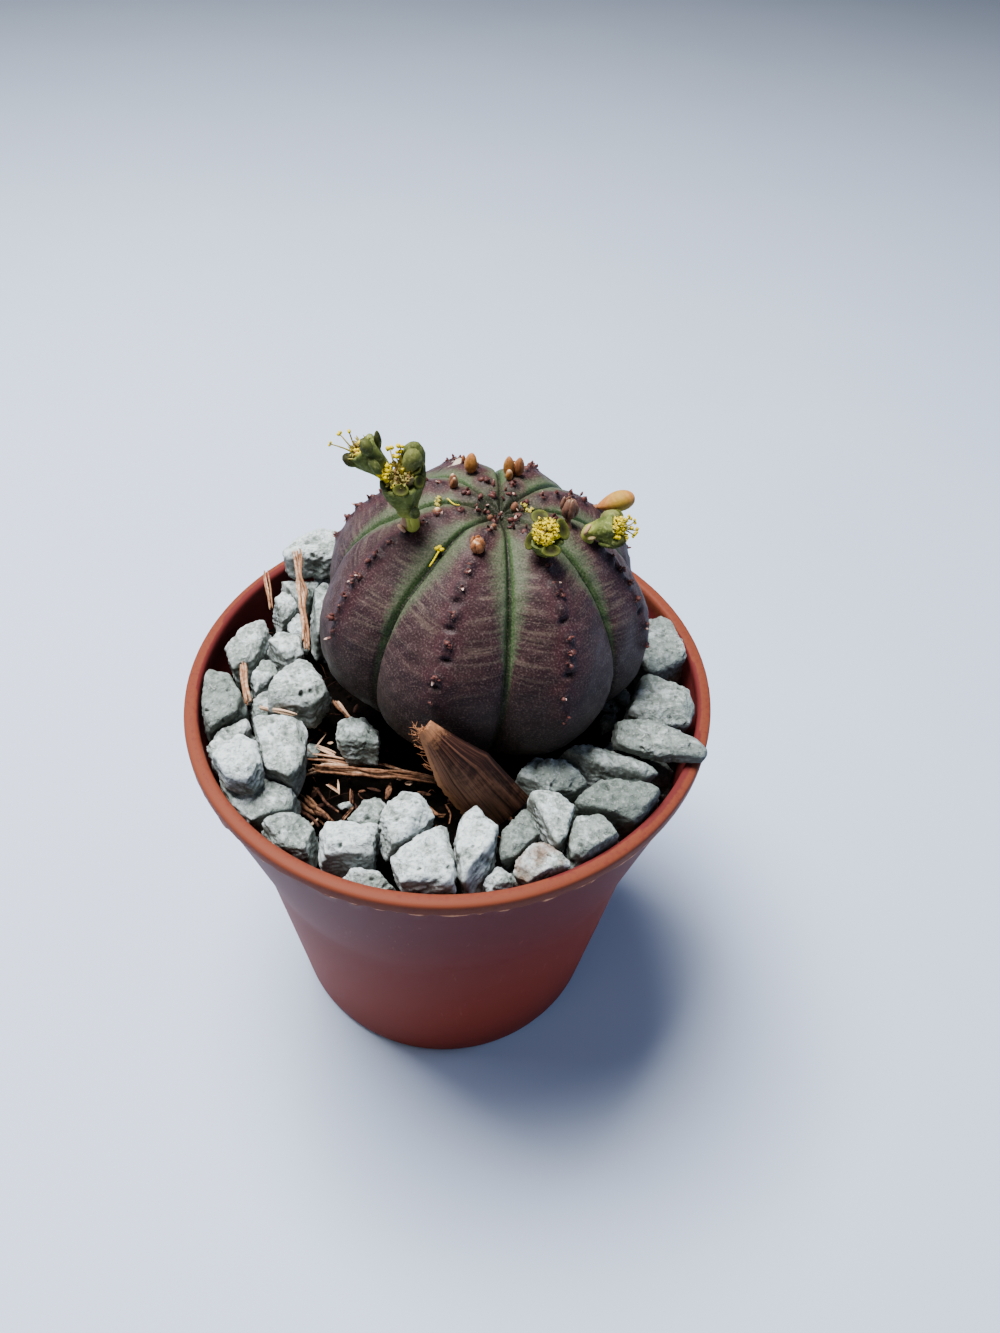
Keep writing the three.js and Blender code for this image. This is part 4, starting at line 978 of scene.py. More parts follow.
class MakeHusk(bpy.types.Operator):
    """Shapes the dry scooped husk that leans on the globe, with a torn hairy tip"""

    bl_idname = "baseball_plant.make_husk"
    bl_label = "Husk"

    def execute(self, context):
        litter = context.scene.plant_litter
        t = np.linspace(0.0, 1.0, HUSK_STEPS)[:, None]
        a = steps_round(HUSK_STEPS)[None, :]
        s = np.clip(-1.03 * np.cos(a), -1, 1) * np.ones_like(t)
        nick = noise(np.stack(np.broadcast_arrays(12 * t, 0 * s, 0 * s), -1), 1.1, 61)
        s = s * (1 - 0.05 * np.clip(nick, 0, None) * np.clip(-2 * s - 1, 0, 1))
        lines = noise(np.stack([34 * s, 1.6 * t + 0 * s, 0 * s], -1), 2.1, 62)
        crumple = noise(np.stack([3.4 * s, 12 * t + 0 * s, 0 * s], -1), 4.5, 63)
        ragged = 0.02 * noise(np.stack([6 * s, 0 * s, 0 * s], -1), 1.5, 64) * np.exp(-t / 0.06)
        thick = 0.13 + 0.04 * (1 - s * s)
        lift = 0.3 - thick * np.sin(a) + (0.03 * lines + 0.07 * crumple * (1 - s * s)) * np.clip(t * 8, 0, 1)
        rings = husk_point(np.clip(t + ragged, 0, 1), s, lift)
        blocks = [(rings, {"along": t, "across": s, "lines": lines})]
        random = np.random.default_rng(65)
        for _ in range(HUSK_HAIRS):
            down = random.uniform(0, 1) ** 3 * 0.35
            start = husk_point(down, -1.0 if down > 0.03 else random.uniform(-1, 0.2), 0.25)
            way = np.array([random.normal(-0.5, 0.5), random.normal(-0.1, 0.3), random.uniform(-0.1, 1.0)])
            path = smooth_curve([start, start + 0.35 * way, start + 0.7 * way + random.normal(0, 0.15, 3)], 6)
            hair = tube(path, np.linspace(0.04, 0.012, 6), 4)
            blocks.append((hair, {"along": 0.0, "across": -1.0, "lines": 0.0}))
        make_piece("husk_scale", blocks, dry_husk(litter), ["husk"])
        return {"FINISHED"}


def coir(litter):
    """Dry coir and bark: matt tan fibres, bleached where they fray and red-brown where they are old."""
    material, tree, shader, spot, age = finish("dry_coir", 0.85, 1.45, 0.25, "age")
    streak = add(tree, "TexNoise", spot, 1 / 0.35, 4)
    aside = add(tree, "Math", add(tree, "Math", streak, 0.5, **MINUS), 1.1, **TIMES)
    value = add(tree, "Math", age, aside, **PLUS)
    colour = layers(
        tree, tuple(litter.light), (litter.colour, (value, 0.0, 0.45)), (litter.dark, (value, 0.4, 0.95))
    )
    fine = add(tree, "TexNoise", spot, 1 / 0.2, 3)
    coat(tree, shader, Base_Color=colour, Normal=add(tree, "Bump", 1.0, 0.06 * MM, None, fine))
    return material


def frayed(points, width, strands, seed, age=0.35, spread=0.45):
    """A bundle of thin strands along one curve; each wanders aside by smooth noise and tapers at its ends."""
    random = np.random.default_rng(seed)
    base = smooth_curve(points, 26)
    blocks = []
    for i in range(strands):
        lo, hi = sorted(random.choice([0, 1, 2, 3, 22, 23, 24, 25], 2, replace=False)) if i else (0, 25)
        if hi - lo < 10:
            lo, hi = 0, 25
        path = base[lo : hi + 1]
        aside = random.normal(0, spread * width / 2, 3) * (i > 0)
        wander = np.stack([noise(path, 4.0, seed * 31 + 3 * i + k) for k in range(3)], -1) * 0.12 * width
        thick = width / (1.6 * math.sqrt(strands)) * random.uniform(0.6, 1.2)
        taper = np.sin(np.linspace(0.25, math.pi - 0.25, len(path))) ** 0.4
        rings = tube(path + aside + wander, thick * taper, 7, 0.7, UP)
        blocks.append((rings, {"age": age + random.uniform(-0.3, 0.3)}))
    return blocks


# The fibres that have a solid each: node, width, number of strands and path.
FIBRES = [
    ("fibre_upright", 1.1, 8, [(-18.4, 12, 53.7), (-17.4, 8, 51.9), (-16.2, 3.6, 50.8), (-15.4, 0.4, 50.3)]),
    ("fibre_rim", 0.6, 4, [(-22.6, 13, 49.6), (-21.8, 10.5, 49.4), (-20.9, 7.6, 48.9)]),
    ("fibre_left", 0.8, 4, [(-21.9, -0.9, 48.9), (-21.3, -2.8, 48.2), (-20.6, -4.9, 47.4)]),
    (
        "fibre_bundle", 1, 9,
        [(-12.9, -10.8, 45.2), (-8.4, -10.8, 44.9), (-4.6, -10.8, 44.9), (-0.6, -11, 44.9)],
    ),
]
# Loose bits on the soil: the bit's path (x, y), its width, its height above the soil, and its age.
STICKS = [
    (
        [(-14.2, -9.7), (-11.6, -9.4), (-9.4, -9.4), (-7.1, -8.8), (-4.5, -9.3), (-1.1, -10.1)],
        0.55, 0.9, 0.35,
    ),
    ([(-13.5, -11.3), (-11.9, -10.5), (-10.5, -10.1), (-9.3, -9.7)], 0.95, 0.75, 0.15),
    ([(-13.4, -9.0), (-11.7, -9.0), (-10.1, -9.1)], 0.3, 1.0, 0.2),
    ([(-13.3, -8.1), (-12.5, -6.2)], 0.3, 1.0, 0.1),
    ([(-13.1, -8.0), (-11.2, -8.8)], 0.4, 1.0, 0.2),
    ([(-19.1, -6.3), (-17.0, -7.1), (-15.1, -7.6)], 0.5, 5.3, -0.1),
    ([(-19.6, -6.3), (-15.3, -5.3), (-11.2, -4.8)], 0.35, 2.9, 0.6),
    ([(-14.5, -2.0), (-13.5, -3.9)], 0.2, 2.7, 0.3),
    ([(-14.4, -3.8), (-13.6, -5.2), (-12.5, -6.0)], 0.35, 0.9, 0.5),
    ([(-12.5, -1.0), (-11.6, -2.1), (-10.5, -3.4)], 0.8, 0.9, 0.4),
    ([(-11.5, -12.2), (-10.1, -12.9)], 0.3, 0.7, 0.2),
    ([(-10.5, -11.4), (-10.2, -12.9)], 0.3, 0.7, 0.25),
    ([(-9.4, -16.2), (-8.5, -14.3)], 0.4, 0.6, 0.6),
    ([(-9.1, -12.2), (-8.8, -14.0)], 0.4, 0.6, 0.6),
    ([(-12.2, -17.3), (-11.6, -16.4)], 0.25, 0.8, 0.2),
    ([(-1.0, -13.9), (-0.2, -14.9), (0.6, -14.9)], 0.5, 0.5, 0.6),
    ([(0.5, -13.7), (1.1, -14.9), (1.1, -16.1)], 0.2, 0.7, 0.6),
    ([(-14.9, 0.5), (-14.3, -1.0), (-13.7, -2.7)], 0.35, 2.2, 0.2),
]
# A chunk of bark: its path (x, y). Flakes: place (x, y) and size.
CHUNK = [(-13.2, -14.4), (-11.8, -15.5), (-10.4, -16.6)]
FLAKES = [(-4.3, -10.1, 1.1), (-3.5, -10.6, 1.2), (-3.4, -12.0, 1.3), (-14.8, -4.4, 1.4), (-12.0, -6.9, 0.8)]
# How far the strands may reach from the pot's axis.
STRAND_REACH = 24.6


class MakeLitter(bpy.types.Operator):
    """Lays frayed coir, bark and husk flakes on the gravel and the soil"""

    bl_idname = "baseball_plant.make_litter"
    bl_label = "Coir and bark"

    def execute(self, context):
        litter, soil = context.scene.plant_litter, context.scene.plant_soil
        material = coir(litter)
        for name, width, strands, points in FIBRES:
            blocks = frayed(points, width, strands, len(name))
            make_piece("coir_" + name[6:], blocks, material, [name])
        random = np.random.default_rng(71)
        blocks = []
        for i, (path, width, above, age) in enumerate(STICKS):
            points = [(x, y, soil_height(x, y, soil) + above) for x, y in path]
            blocks += frayed(points, width, 4 if width > 0.35 else 2, 200 + i, age)
        points = [(x, y, soil_height(x, y, soil) + 0.7) for x, y in CHUNK]
        blocks += frayed(points, 1.6, 14, 301, 0.62, 0.9)
        for x, y, size in FLAKES:
            at = (x, y, soil_height(x, y, soil) + 0.7)
            rings, t = scale_rings(at, (random.normal(0, 0.4), -0.8, 0.5), size, size * 0.8, 0.2)
            blocks.append((rings, {"age": 0.15 + 0 * t}))
        # A tangle of short thin strands over the open soil, with a dark bark chip for every two strands.
        for i in range(litter.strands):
            r, a = STREWN * math.sqrt(random.uniform(0.15, 1)), random.uniform(0, TURN)
            x, y = r * math.cos(a), r * math.sin(a)
            turn, reach, rise = random.uniform(0, TURN), random.uniform(0.4, 1.7), random.uniform(0, 0.8)
            ends = np.array([math.cos(turn), math.sin(turn), 0]) * reach
            middle = np.array([x, y, soil_height(x, y, soil) + 0.2 + rise])
            if max(np.hypot(*(middle + ends)[:2]), np.hypot(*(middle - ends)[:2])) > STRAND_REACH:
                continue
            if i % 3:
                first, last = middle - ends + [0, 0, -0.4 * rise], middle + ends + [0, 0, -0.5 * rise]
                path = smooth_curve([first, middle + random.normal(0, 0.25, 3), last], 6)
                thick = random.uniform(0.035, 0.085) * np.sin(np.linspace(0.5, 2.6, 6))
                blocks.append((tube(path, thick, 4, 0.6), {"age": random.uniform(0.5, 1.3)}))
            else:
                way = ends + [0, 0, random.uniform(-0.5, 0.8)]
                long, wide = random.uniform(0.7, 1.8), random.uniform(0.35, 0.8)
                rings, t = scale_rings(middle - 0.3 * ends, way, long, wide, 0.3, sides=5)
                blocks.append((rings, {"age": random.uniform(0.65, 1.2) + 0 * t}))
        make_piece("coir_litter", blocks, material)
        return {"FINISHED"}


# ------------------------------------------------------------------ the blooms
# The marks on a bloom's flesh, where there is nothing to mark.
FLESH = {"stalk": 0.0, "lip": 0.0, "dish": 0.0, "dry": 0.0}


def cyathium_flesh(bloom):
    """Bloom flesh: smooth and waxy, green cups and yellow-green gland lips round olive-brown dishes; a little
    light passes through it, and small pale flecks are painted highlights on the wax."""
    material, tree, shader, spot, *marks = finish("cyathium_flesh", 0.66, 1.42, 0.15, *FLESH)
    stalk, lip, dish, dry = marks
    shader.inputs["Subsurface Weight"].default_value = 0.05
    shader.inputs["Subsurface Radius"].default_value = (1.0, 1.0, 0.3)
    shader.inputs["Subsurface Scale"].default_value = 0.6 * MM
    colour = layers(
        tree,
        tuple(bloom.green),
        (linear("#37421e"), (add(tree, "TexNoise", spot, 1 / 0.9, 4), 0.35, 0.65, 0, 0.8)),
        # Painted highlights: small pale flecks over the flesh.
        (linear("#8b935c"), (add(tree, "TexNoise", spot, 1 / 0.35, 4, 0.6), 0.48, 0.68, 0, 0.5)),
        (bloom.stalk, (stalk,)),
        (bloom.gland, (dish,)),
        (bloom.lip, (lip,)),
        (linear("#b18b70"), (dry,)),
    )
    fine = add(tree, "TexNoise", spot, 1 / 0.4, 4, 0.6)
    coat(tree, shader, Base_Color=colour, Normal=add(tree, "Bump", 1.0, 0.06 * MM, None, fine))
    return material


def wrinkled(rings, amount=0.07):
    """Rings swollen and pinched by smooth noise some 1.3 mm long."""
    return swollen(rings, 1 + amount * noise(rings, 1.3, 91))


# A cup's section, as shares of its radius and its length: from its foot over its mouth into its shallow well.
CUP = np.array([
    (0.16, 0), (0.4, 0.03), (0.47, 0.14), (0.55, 0.3), (0.72, 0.5), (0.88, 0.7), (0.97, 0.87), (0.97, 0.96),
    (0.86, 1), (0.6, 0.93), (0.3, 0.9),
])
# A gland's section: shares of its radius and its depth, and how much of it is lip and dish there.
GLAND = np.array([
    (0.05, -1, 0, 0), (0.45, -0.92, 0, 0), (0.82, -0.5, 0.2, 0), (1, -0.1, 0.5, 0.1), (1, 0.2, 0.75, 0.15),
    (0.9, 0.33, 0.7, 0.35), (0.76, 0.28, 0.45, 0.7), (0.5, 0.16, 0.2, 0.9), (0.08, 0.1, 0, 1),
])


def cup_block(at, to, long, wide):
    """A fleshy cup: a thick foot that widens steadily to a rounded mouth, with five soft lobes round it, and
    paler in its lower part."""
    rings = turned(CUP * [wide / 2, long], 40, at, to)
    lobes = 1 + 0.07 * np.cos(5 * steps_round(40))[None, :]
    pale = 0.6 - 0.6 * np.minimum(1, CUP[:, 1:] / 0.4)
    return wrinkled(swollen(rings, lobes)), {**FLESH, "stalk": pale}


def dish_block(at, face, wide, high, deep=0.45):
    """A gland: an oval pad with a raised lip round a shallow dish, facing along `face`."""
    rings = turned(GLAND[:, :2] * [wide / 2, deep], 26, at, face, high / wide)
    return rings, {**FLESH, "lip": GLAND[:, 2:3], "dish": GLAND[:, 3:]}


def bract_block(at, to, length, width, flat=0.4, blunt=0.7, dish=0.0, **marks):
    """A small leaf-like bract, or a rounded lobe where it is blunt; it browns towards its tip by `dish`."""
    belly = 0.8 if blunt > 0.6 else 1.05
    rings, t = scale_rings(at, to, length, width, flat, sides=14, blunt=blunt, belly=belly)
    return wrinkled(rings, 0.09), {**FLESH, "dish": dish * np.clip(1.7 * t - 0.2, 0, 1), **marks}


def bloom_pollen(bloom):
    """Pollen and fringes: dusty yellow anthers on pale yellow-green filaments, cream tufts and brown withered
    ones."""
    names = ("yellow", "brown")
    material, tree, shader, spot, yellow, brown = finish("pollen_dust", 0.9, 1.4, 0.05, *names)
    fine = add(tree, "TexNoise", spot, 1 / 0.1, 3)
    colour = layers(
        tree,
        tuple(bloom.filament),
        (bloom.pollen, (yellow,)),
        (linear("#7f6c12"), (fine, 0.35, 0.5, 0.55, 0)),
        (linear("#7d5343"), (brown,)),
    )
    coat(tree, shader, Base_Color=colour, Normal=add(tree, "Bump", 1.0, 0.03 * MM, None, fine))
    return material


def anthers(at, to, length, seed, size=0.2):
    """A stamen: a thin bent filament that carries a pair of pollen sacs."""
    random = np.random.default_rng(seed)
    at, to = np.asarray(at, float), np.asarray(to, float) / np.linalg.norm(to)
    bend = random.normal(0, 0.08 * length, 3)
    path = smooth_curve([at, at + to * length * 0.55 + bend, at + to * length], 7)
    blocks = [(tube(path, np.linspace(0.09, 0.055, 7), 6), {"yellow": 0.25, "brown": 0.0})]
    side = np.cross(to, random.normal(size=3))
    side *= 0.8 * size / np.linalg.norm(side)
    for way in (side, -side):
        sac = crumb_block(path[-1] + way, size * random.uniform(0.8, 1.1), seed, 0.12)
        blocks.append((sac, {"yellow": 1.0, "brown": 0.0}))
    return blocks


def tuft(at, to, wide, count, reach, seed, grains=60, gold=0.6):
    """The middle of a bloom: a low dome crowded with grains, cream and brown in the middle and yellow round
    it, withered fringes, and stamens standing among them."""
    random = np.random.default_rng(seed)
    to = np.asarray(to, float) / np.linalg.norm(to)
    side = np.cross(to, [0.3, 0.9, 0.1])
    side /= np.linalg.norm(side)
    third = np.cross(to, side)
    blocks = []
    for i in range(grains):
        a, r = random.uniform(0, TURN), math.sqrt(random.uniform(0, 0.9)) if i else 0.0
        aside = 0.5 * wide * r * (math.cos(a) * side + math.sin(a) * third)
        foot = at + aside + 0.2 * wide * (1 - r * r) * to
        yellow = float(random.uniform() < gold * (0.3 + r)) * random.uniform(0.75, 1)
        brown = random.uniform(0.2, 0.9) * float(random.uniform() < 0.55 - 0.45 * r) * (1 - yellow)
        size = random.uniform(0.17, 0.3) if yellow else random.uniform(0.08, 0.17)
        blocks.append((crumb_block(foot, size, seed + i, 0.5), {"yellow": yellow, "brown": brown}))
        if i % 2 == 0:
            way = to + 0.6 * (foot - at) / wide + random.normal(0, 0.3, 3)
            rings, _ = scale_rings(foot - 0.1 * to, way, random.uniform(0.4, 0.8), 0.2, 0.5)
            blocks.append((rings, {"yellow": 0.1, "brown": 0.7 * brown}))
    dome = crumb_block(at - 0.28 * wide * to, 0.45 * wide, seed, 0.06)
    blocks.append((dome, {"yellow": min(0.9, 0.6 * gold), "brown": 0.2}))
    for i in range(count):
        a = i / count * TURN + random.uniform(-0.3, 0.3)
        r = wide / 2 * random.uniform(0.3, 0.9)
        out = math.cos(a) * side + math.sin(a) * third
        way = to + random.uniform(0.05, 0.6) * out
        blocks += anthers(at + r * out, way, reach * random.uniform(0.5, 1.0), seed + i)
    return blocks


# Where the longest stamens of the left and the right blooms end, from the spot where the bloom grows.
LOW_ANTHERS = [
    (-2.4, -0.9, 6.3), (-2.5, -0.6, 6.7), (-2.0, -0.9, 6.8), (-2.1, -0.4, 7.2), (-1.8, -0.4, 6.9),
    (-1.4, 0, 7.9), (-1.7, -0.8, 6.2), (-1.9, 0.3, 8.5), (-1.1, 0.3, 8.2), (-1.0, 0.4, 8.7),
]
HIGH_ANTHERS = [(-6.9, -0.2, 8.8), (-6.1, 0.1, 9.7), (-5.3, 0.3, 9.85)]
RIGHT_ANTHERS = [
    (4.4, 0, 1.5), (4.1, 0.3, 2.3), (3.6, 0.5, 2.6), (3.9, 0.1, 1.7), (2.6, -0.9, 0.9), (3.4, -0.3, 1.1),
    (4.2, -0.2, 1.1), (3.2, 0.2, 2.5), (2.4, -0.8, 2.2), (3.0, -0.7, 1.6),
]


class MakeBlooms(bpy.types.Operator):
    """Grows the forked pair of blooms on the left and the two single blooms, with their stamens"""

    bl_idname = "baseball_plant.make_blooms"
    bl_label = "Blooms"

    def execute(self, context):
        plant, bloom = context.scene.plant_globe, context.scene.plant_bloom
        flesh, pollen = cyathium_flesh(bloom), bloom_pollen(bloom)
        # Each position below is in millimetres from the spot on the rib where the bloom grows.
        foot = on_rib(0, 59, plant)
        stalk = smooth_curve([(0.0, 0.3, 0.0), (-0.1, 0.2, 0.8), (-0.25, 0.1, 1.6), (-0.4, 0, 2.4)], 16)
        blocks = [
            (tube(foot + stalk, np.linspace(0.75, 0.72, 16), 20), {**FLESH, "stalk": 0.9}),
            cup_block(foot + [-0.35, 0, 1.9], (-0.15, -0.08, 1), 3.8, 3.8),
            cup_block(foot + [-1.9, 0.1, 5.75], (-0.69, 0, 0.73), 3.75, 3.05),
            bract_block(foot + [0.2, -0.2, 0.45], (-0.04, 0, 1), 2.4, 1.2, 0.8, blunt=0.5, stalk=0.9),
            bract_block(foot + [0.35, -0.95, 2.2], (0.1, -0.45, 1), 2.1, 0.95, 0.6, dish=0.4),
            bract_block(foot + [-0.6, -0.3, 0.35], (0, -0.15, 1), 2.1, 0.7, 0.4, dry=0.9),
            bract_block(foot + [-0.8, -0.2, 0.05], (-0.3, -0.3, 1), 0.95, 1.1, 0.35, blunt=0.5, dry=1.0),
            bract_block(foot + [-2.0, -1.05, 4.6], (-0.32, -0.15, 1), 1.7, 1.0, 0.6, blunt=0.5, dish=0.7),
            dish_block(foot + [-0.7, -2.0, 5.85], (0, -0.7, 0.7), 1.4, 1.1, 0.4),
            dish_block(foot + [0.72, -0.85, 6.05], (0.8, -0.5, 0.5), 1.2, 1.2, 0.35),
            dish_block(foot + [0.2, -0.25, 7.0], (-0.2, -0.6, 0.7), 1.4, 1.1, 0.3),
            bract_block(foot + [0.0, -0.95, 5.6], (0.15, -0.3, 1), 1.3, 0.8, 0.4, dry=0.3, lip=0.3),
            bract_block(foot + [0.1, 0.7, 5.6], (0.0, 0, 1), 3.4, 2.1, 0.8, blunt=0.4, dish=0.35),
            bract_block(
                foot + [0.05, 0.25, 5.5], (0.02, -0.02, 1), 3.2, 2.1, 0.8, blunt=0.4, lip=0.15, dry=0.04
            ),
            bract_block(foot + [0.85, 0.2, 4.4], (0.05, 0, 1), 3.0, 0.9, 0.7, blunt=0.5, dish=0.5),
            bract_block(foot + [-3.45, -0.95, 8.55], (-0.3, -0.15, 1), 1.55, 1.55, 0.7, blunt=0.4, dish=0.6),
            bract_block(foot + [-4.6, -0.3, 7.0], (-0.9, -0.1, 0.6), 1.5, 1.35, 0.7, blunt=0.42, dish=0.9),
            bract_block(foot + [-2.35, -1.45, 7.0], (-0.6, -0.1, 0.85), 1.9, 1.3, 0.6, blunt=0.6, dish=0.35),
            bract_block(foot + [-2.8, 0.25, 8.1], (-0.08, 0, 1), 2.05, 0.8, 0.8, blunt=0.5, dish=0.7),
        ]
        make_piece("bloom_pair", blocks, flesh, ["cyathia_left"])
        low = tuft(foot + [-1.05, -0.5, 6.3], (-0.05, -0.5, 1), 2.8, 0, 0.6, 400, 120, 0.03)
        low += tuft(foot + [-2.15, -0.75, 6.3], (-0.5, -0.5, 1), 0.9, 3, 0.6, 410, 14, 1.0)
        for i, spot in enumerate(LOW_ANTHERS):
            start = np.array([-1.0, -0.4, 5.8]) + 0.35 * (np.array(spot) - [-1.0, -0.4, 5.8])
            way = np.array(spot) - start
            low += anthers(foot + start, way, np.linalg.norm(way), 420 + i, 0.22)
        make_piece("pollen_pair_low", low, pollen, ["stamens_left_low"])
        high = tuft(foot + [-4.5, -0.1, 8.35], (-0.6, -0.1, 0.8), 2.1, 3, 0.5, 440, 50, 0.1)
        for i, tip in enumerate(HIGH_ANTHERS):
            way = np.array(tip) - [-4.6, -0.1, 7.9]
            high += anthers(foot + [-4.6, -0.1, 7.9], way, np.linalg.norm(way), 460 + i, 0.16)
        make_piece("pollen_pair_high", high, pollen, ["stamens_left_high"])

        foot = on_rib(2, 68, plant, (0, 0, 0.3))
        blocks = [
            cup_block(foot + [0.55, 0.2, -0.6], (0.03, -0.4, 1), 2.6, 3.0),
            dish_block(foot + [-0.02, 0.45, 3.15], (-0.15, -0.4, 0.9), 1.6, 1.4, 0.35),
            dish_block(foot + [2.05, -0.15, 2.45], (0.5, -0.6, 0.7), 1.25, 2.0, 0.35),
            dish_block(foot + [-0.62, -1.0, 1.6], (-0.6, -0.7, 0.5), 1.15, 1.75, 0.35),
            dish_block(foot + [1.17, -2.0, 1.42], (0.1, -0.6, 0.8), 1.75, 1.1, 0.4),
        ]
        make_piece("bloom_front", blocks, flesh, ["cyathium_front"])
        middle = tuft(foot + [0.57, -0.6, 2.3], (-0.02, -0.6, 1), 2.5, 6, 0.3, 480, 90, 1.5)
        make_piece("pollen_front", middle, pollen, ["stamens_front"])

        foot = on_rib(3, 60, plant)
        stalk = smooth_curve([(0.05, 0, -0.4), (-0.05, 0, 0.3), (0.05, 0, 0.9), (0.6, -0.05, 1.2)], 10)
        blocks = [
            (tube(foot + stalk, np.linspace(0.55, 0.75, 10), 16), {**FLESH, "stalk": 0.4}),
            cup_block(foot + [-0.3, 0, 0.9], (1, -0.14, 0.34), 2.9, 3.0),
            bract_block(
                foot + [-0.35, -0.1, 0.6], (0.3, -0.1, 1), 1.4, 1.1, 0.5, blunt=0.5, dry=0.8, dish=0.2
            ),
            bract_block(foot + [-0.1, -0.55, 0.6], (0.8, -0.1, 0.5), 1.4, 1.0, 0.5, dry=0.35),
            bract_block(foot + [0.9, 0.35, 2.2], (1, 0, 0.4), 1.9, 1.5, 0.8, blunt=0.45, dry=0.08),
            bract_block(foot + [0.5, -0.6, 1.5], (1, -0.1, 0.4), 2.2, 1.4, 0.6, blunt=0.5, lip=0.15),
            bract_block(foot + [0.9, -1.1, 0.6], (1, -0.05, 0.1), 2.2, 1.3, 0.6, blunt=0.5, dish=0.25),
            bract_block(foot + [1.9, -1.35, 1.1], (1, -0.1, 0.2), 1.5, 1.2, 0.8, blunt=0.42, dish=0.8),
            bract_block(foot + [0.9, -0.95, 1.7], (1, -0.1, 0.3), 1.6, 1.1, 0.8, blunt=0.42, lip=0.2),
            dish_block(foot + [2.5, 0.5, 2.75], (0.4, -0.2, 0.9), 1.2, 1.1, 0.3),
        ]
        make_piece("bloom_right", blocks, flesh, ["cyathium_right"])
        right = tuft(foot + [2.5, -0.55, 2.0], (0.8, -0.55, 0.45), 2.0, 8, 0.7, 500, 70, 1.3)
        for i, tip in enumerate(RIGHT_ANTHERS):
            way = 0.65 * (np.array(tip) - [2.5, -0.1, 1.8])
            right += anthers(foot + tip - way, way, np.linalg.norm(way), 520 + i, 0.2)
        make_piece("pollen_right", right, pollen, ["stamens_right"])
        return {"FINISHED"}


# ------------------------------------------------------------------ the buds
def bud_scales(bloom):
    """Papery bud scales: orange-brown with a dull shine, streaked lengthwise, golden where they are thin,
    with pale torn edges, and painted shade in the creases, at the feet of loose scales and in open tips."""
    names = ("pale", "age", "gold", "painted_crease_shade")
    material, tree, shader, spot, pale, age, gold, painted_crease_shade = finish("bud_scales", 0.6, 1.45, 0.2, *names)
    streaks = add(tree, "TexNoise", spot, 1 / 0.4, 4)
    tear = add(tree, "Math", add(tree, "Math", streaks, 0.5, **MINUS), 0.6, **TIMES)
    colour = layers(
        tree,
        tuple(bloom.bud),
        (linear("#ac7142"), (streaks, 0.35, 0.7)),
        (linear("#93831c"), (gold,)),
        (linear("#64463a"), (age,)),
        # Painted shade in the creases, at the feet of the loose scales and in the open tip's well.
        (linear("#24130c"), (painted_crease_shade, 0.35, 0.9, 0, 0.85)),
        (bloom.bud_pale, (add(tree, "Math", pale, tear, **PLUS), 0.45, 0.8)),
    )
    fine = add(tree, "TexNoise", spot, 1 / 0.15, 3)
    coat(tree, shader, Base_Color=colour, Normal=add(tree, "Bump", 1.0, 0.04 * MM, None, fine))
    return material


def bud_block(at, to, length, width, folds, age=0.0, pale=0.2, gold=0.0, belly=0.8, deep=0.08, open_tip=0.0):
    """A closed bud: radius sin(pi t ** belly) ** 0.6, with `folds` creases that twist a little round it. An
    open tip sinks in as a well; painted shade darkens the creases and the well."""
    t = 0.5 - 0.5 * np.cos(np.linspace(0.25, math.pi - 0.1, 16))
    body = width / 2 * np.sin(math.pi * t**belly) ** 0.6
    height = t * length - open_tip * length * np.exp(-((body / width * 2 / 0.45) ** 2)) * (t > 0.5)
    rings = turned(np.stack([body, height], 1), 32, at, to)
    t = t[:, None]
    a = steps_round(32)[None, :] + 0.7 * t
    crease = 1 - np.abs(np.sin(folds * a / 2)) ** 0.5
    rings = swollen(rings, 1 - deep * 3 * crease * np.sin(math.pi * t))
    well = (t > 0.9) * min(1.0, open_tip * 4)
    marks = {
        "pale": pale * t**3 * 2.5 * (1 - well),
        "age": age,
        "gold": gold * np.exp(-(((t - 0.6) / 0.3) ** 2)) * (0.75 + 0.25 * np.cos(a + 1.2)),
        # Painted shade: the creases and the open tip's well.
        "painted_crease_shade": np.maximum(crease * deep * 9, well),
    }
    return rings, marks


# The single buds: node, rib, latitude, shift, direction, length and width, number of folds, slot, and looks.
BUDS = [
    (
        "bud_back_left", 6, 70, (-0.7, 0, 0), (0.02, 0.05, 1), (2.15, 1.35), 3, "bud",
        {"pale": 0.1, "gold": 0.35},
    ),
    (
        "bud_front", 1, 66, (0, 0.1, 0.2), (0, -0.15, 1), (1.6, 1.4), 4, "bud",
        {"pale": 0.35, "open_tip": 0.1, "deep": 0.12, "age": 0.25},
    ),
    (
        "bud_dry", 3, 67, (-0.25, 0.9, 0.5), (0.1, 0.05, 1), (2.3, 1.75), 5, "dry_bud",
        {"age": 1.0, "pale": 0.3, "deep": 0.16, "open_tip": 0.1},
    ),
    (
        "capsule_right", 4, 50, (0.15, 0, -0.15), (0.9, 0.05, 0.36), (4.3, 2.15), 3, "bud",
        {"gold": 1.0, "belly": 1.35, "deep": 0.05, "open_tip": 0.05},
    ),
]
# Small buds and scales on the skin: latitude, longitude, direction, length, width, age and paleness.
SMALL_BUDS = [
    (72.5, 155.5, (-0.15, 0, 1), 1.6, 0.9, 0.7, 0.3),
    (72.0, 158.5, (0.2, -0.1, 1), 1.4, 0.65, 0.5, 0.35),
    (60.5, 119.5, (0, 0, 1), 1.3, 0.5, 0.3, 0.2),
    (68.5, -160.0, (0, -0.2, 1), 0.9, 0.8, 0.2, 0.4),
    (85.5, 20.0, (0.1, 0, 1), 1.1, 0.8, 0.8, 0.15),
    (83.5, -120.0, (0, -0.3, 1), 0.8, 0.6, 0.8, 0.15),
    (79.0, -100.0, (0, -0.4, 1), 0.8, 0.6, 0.7, 0.2),
]
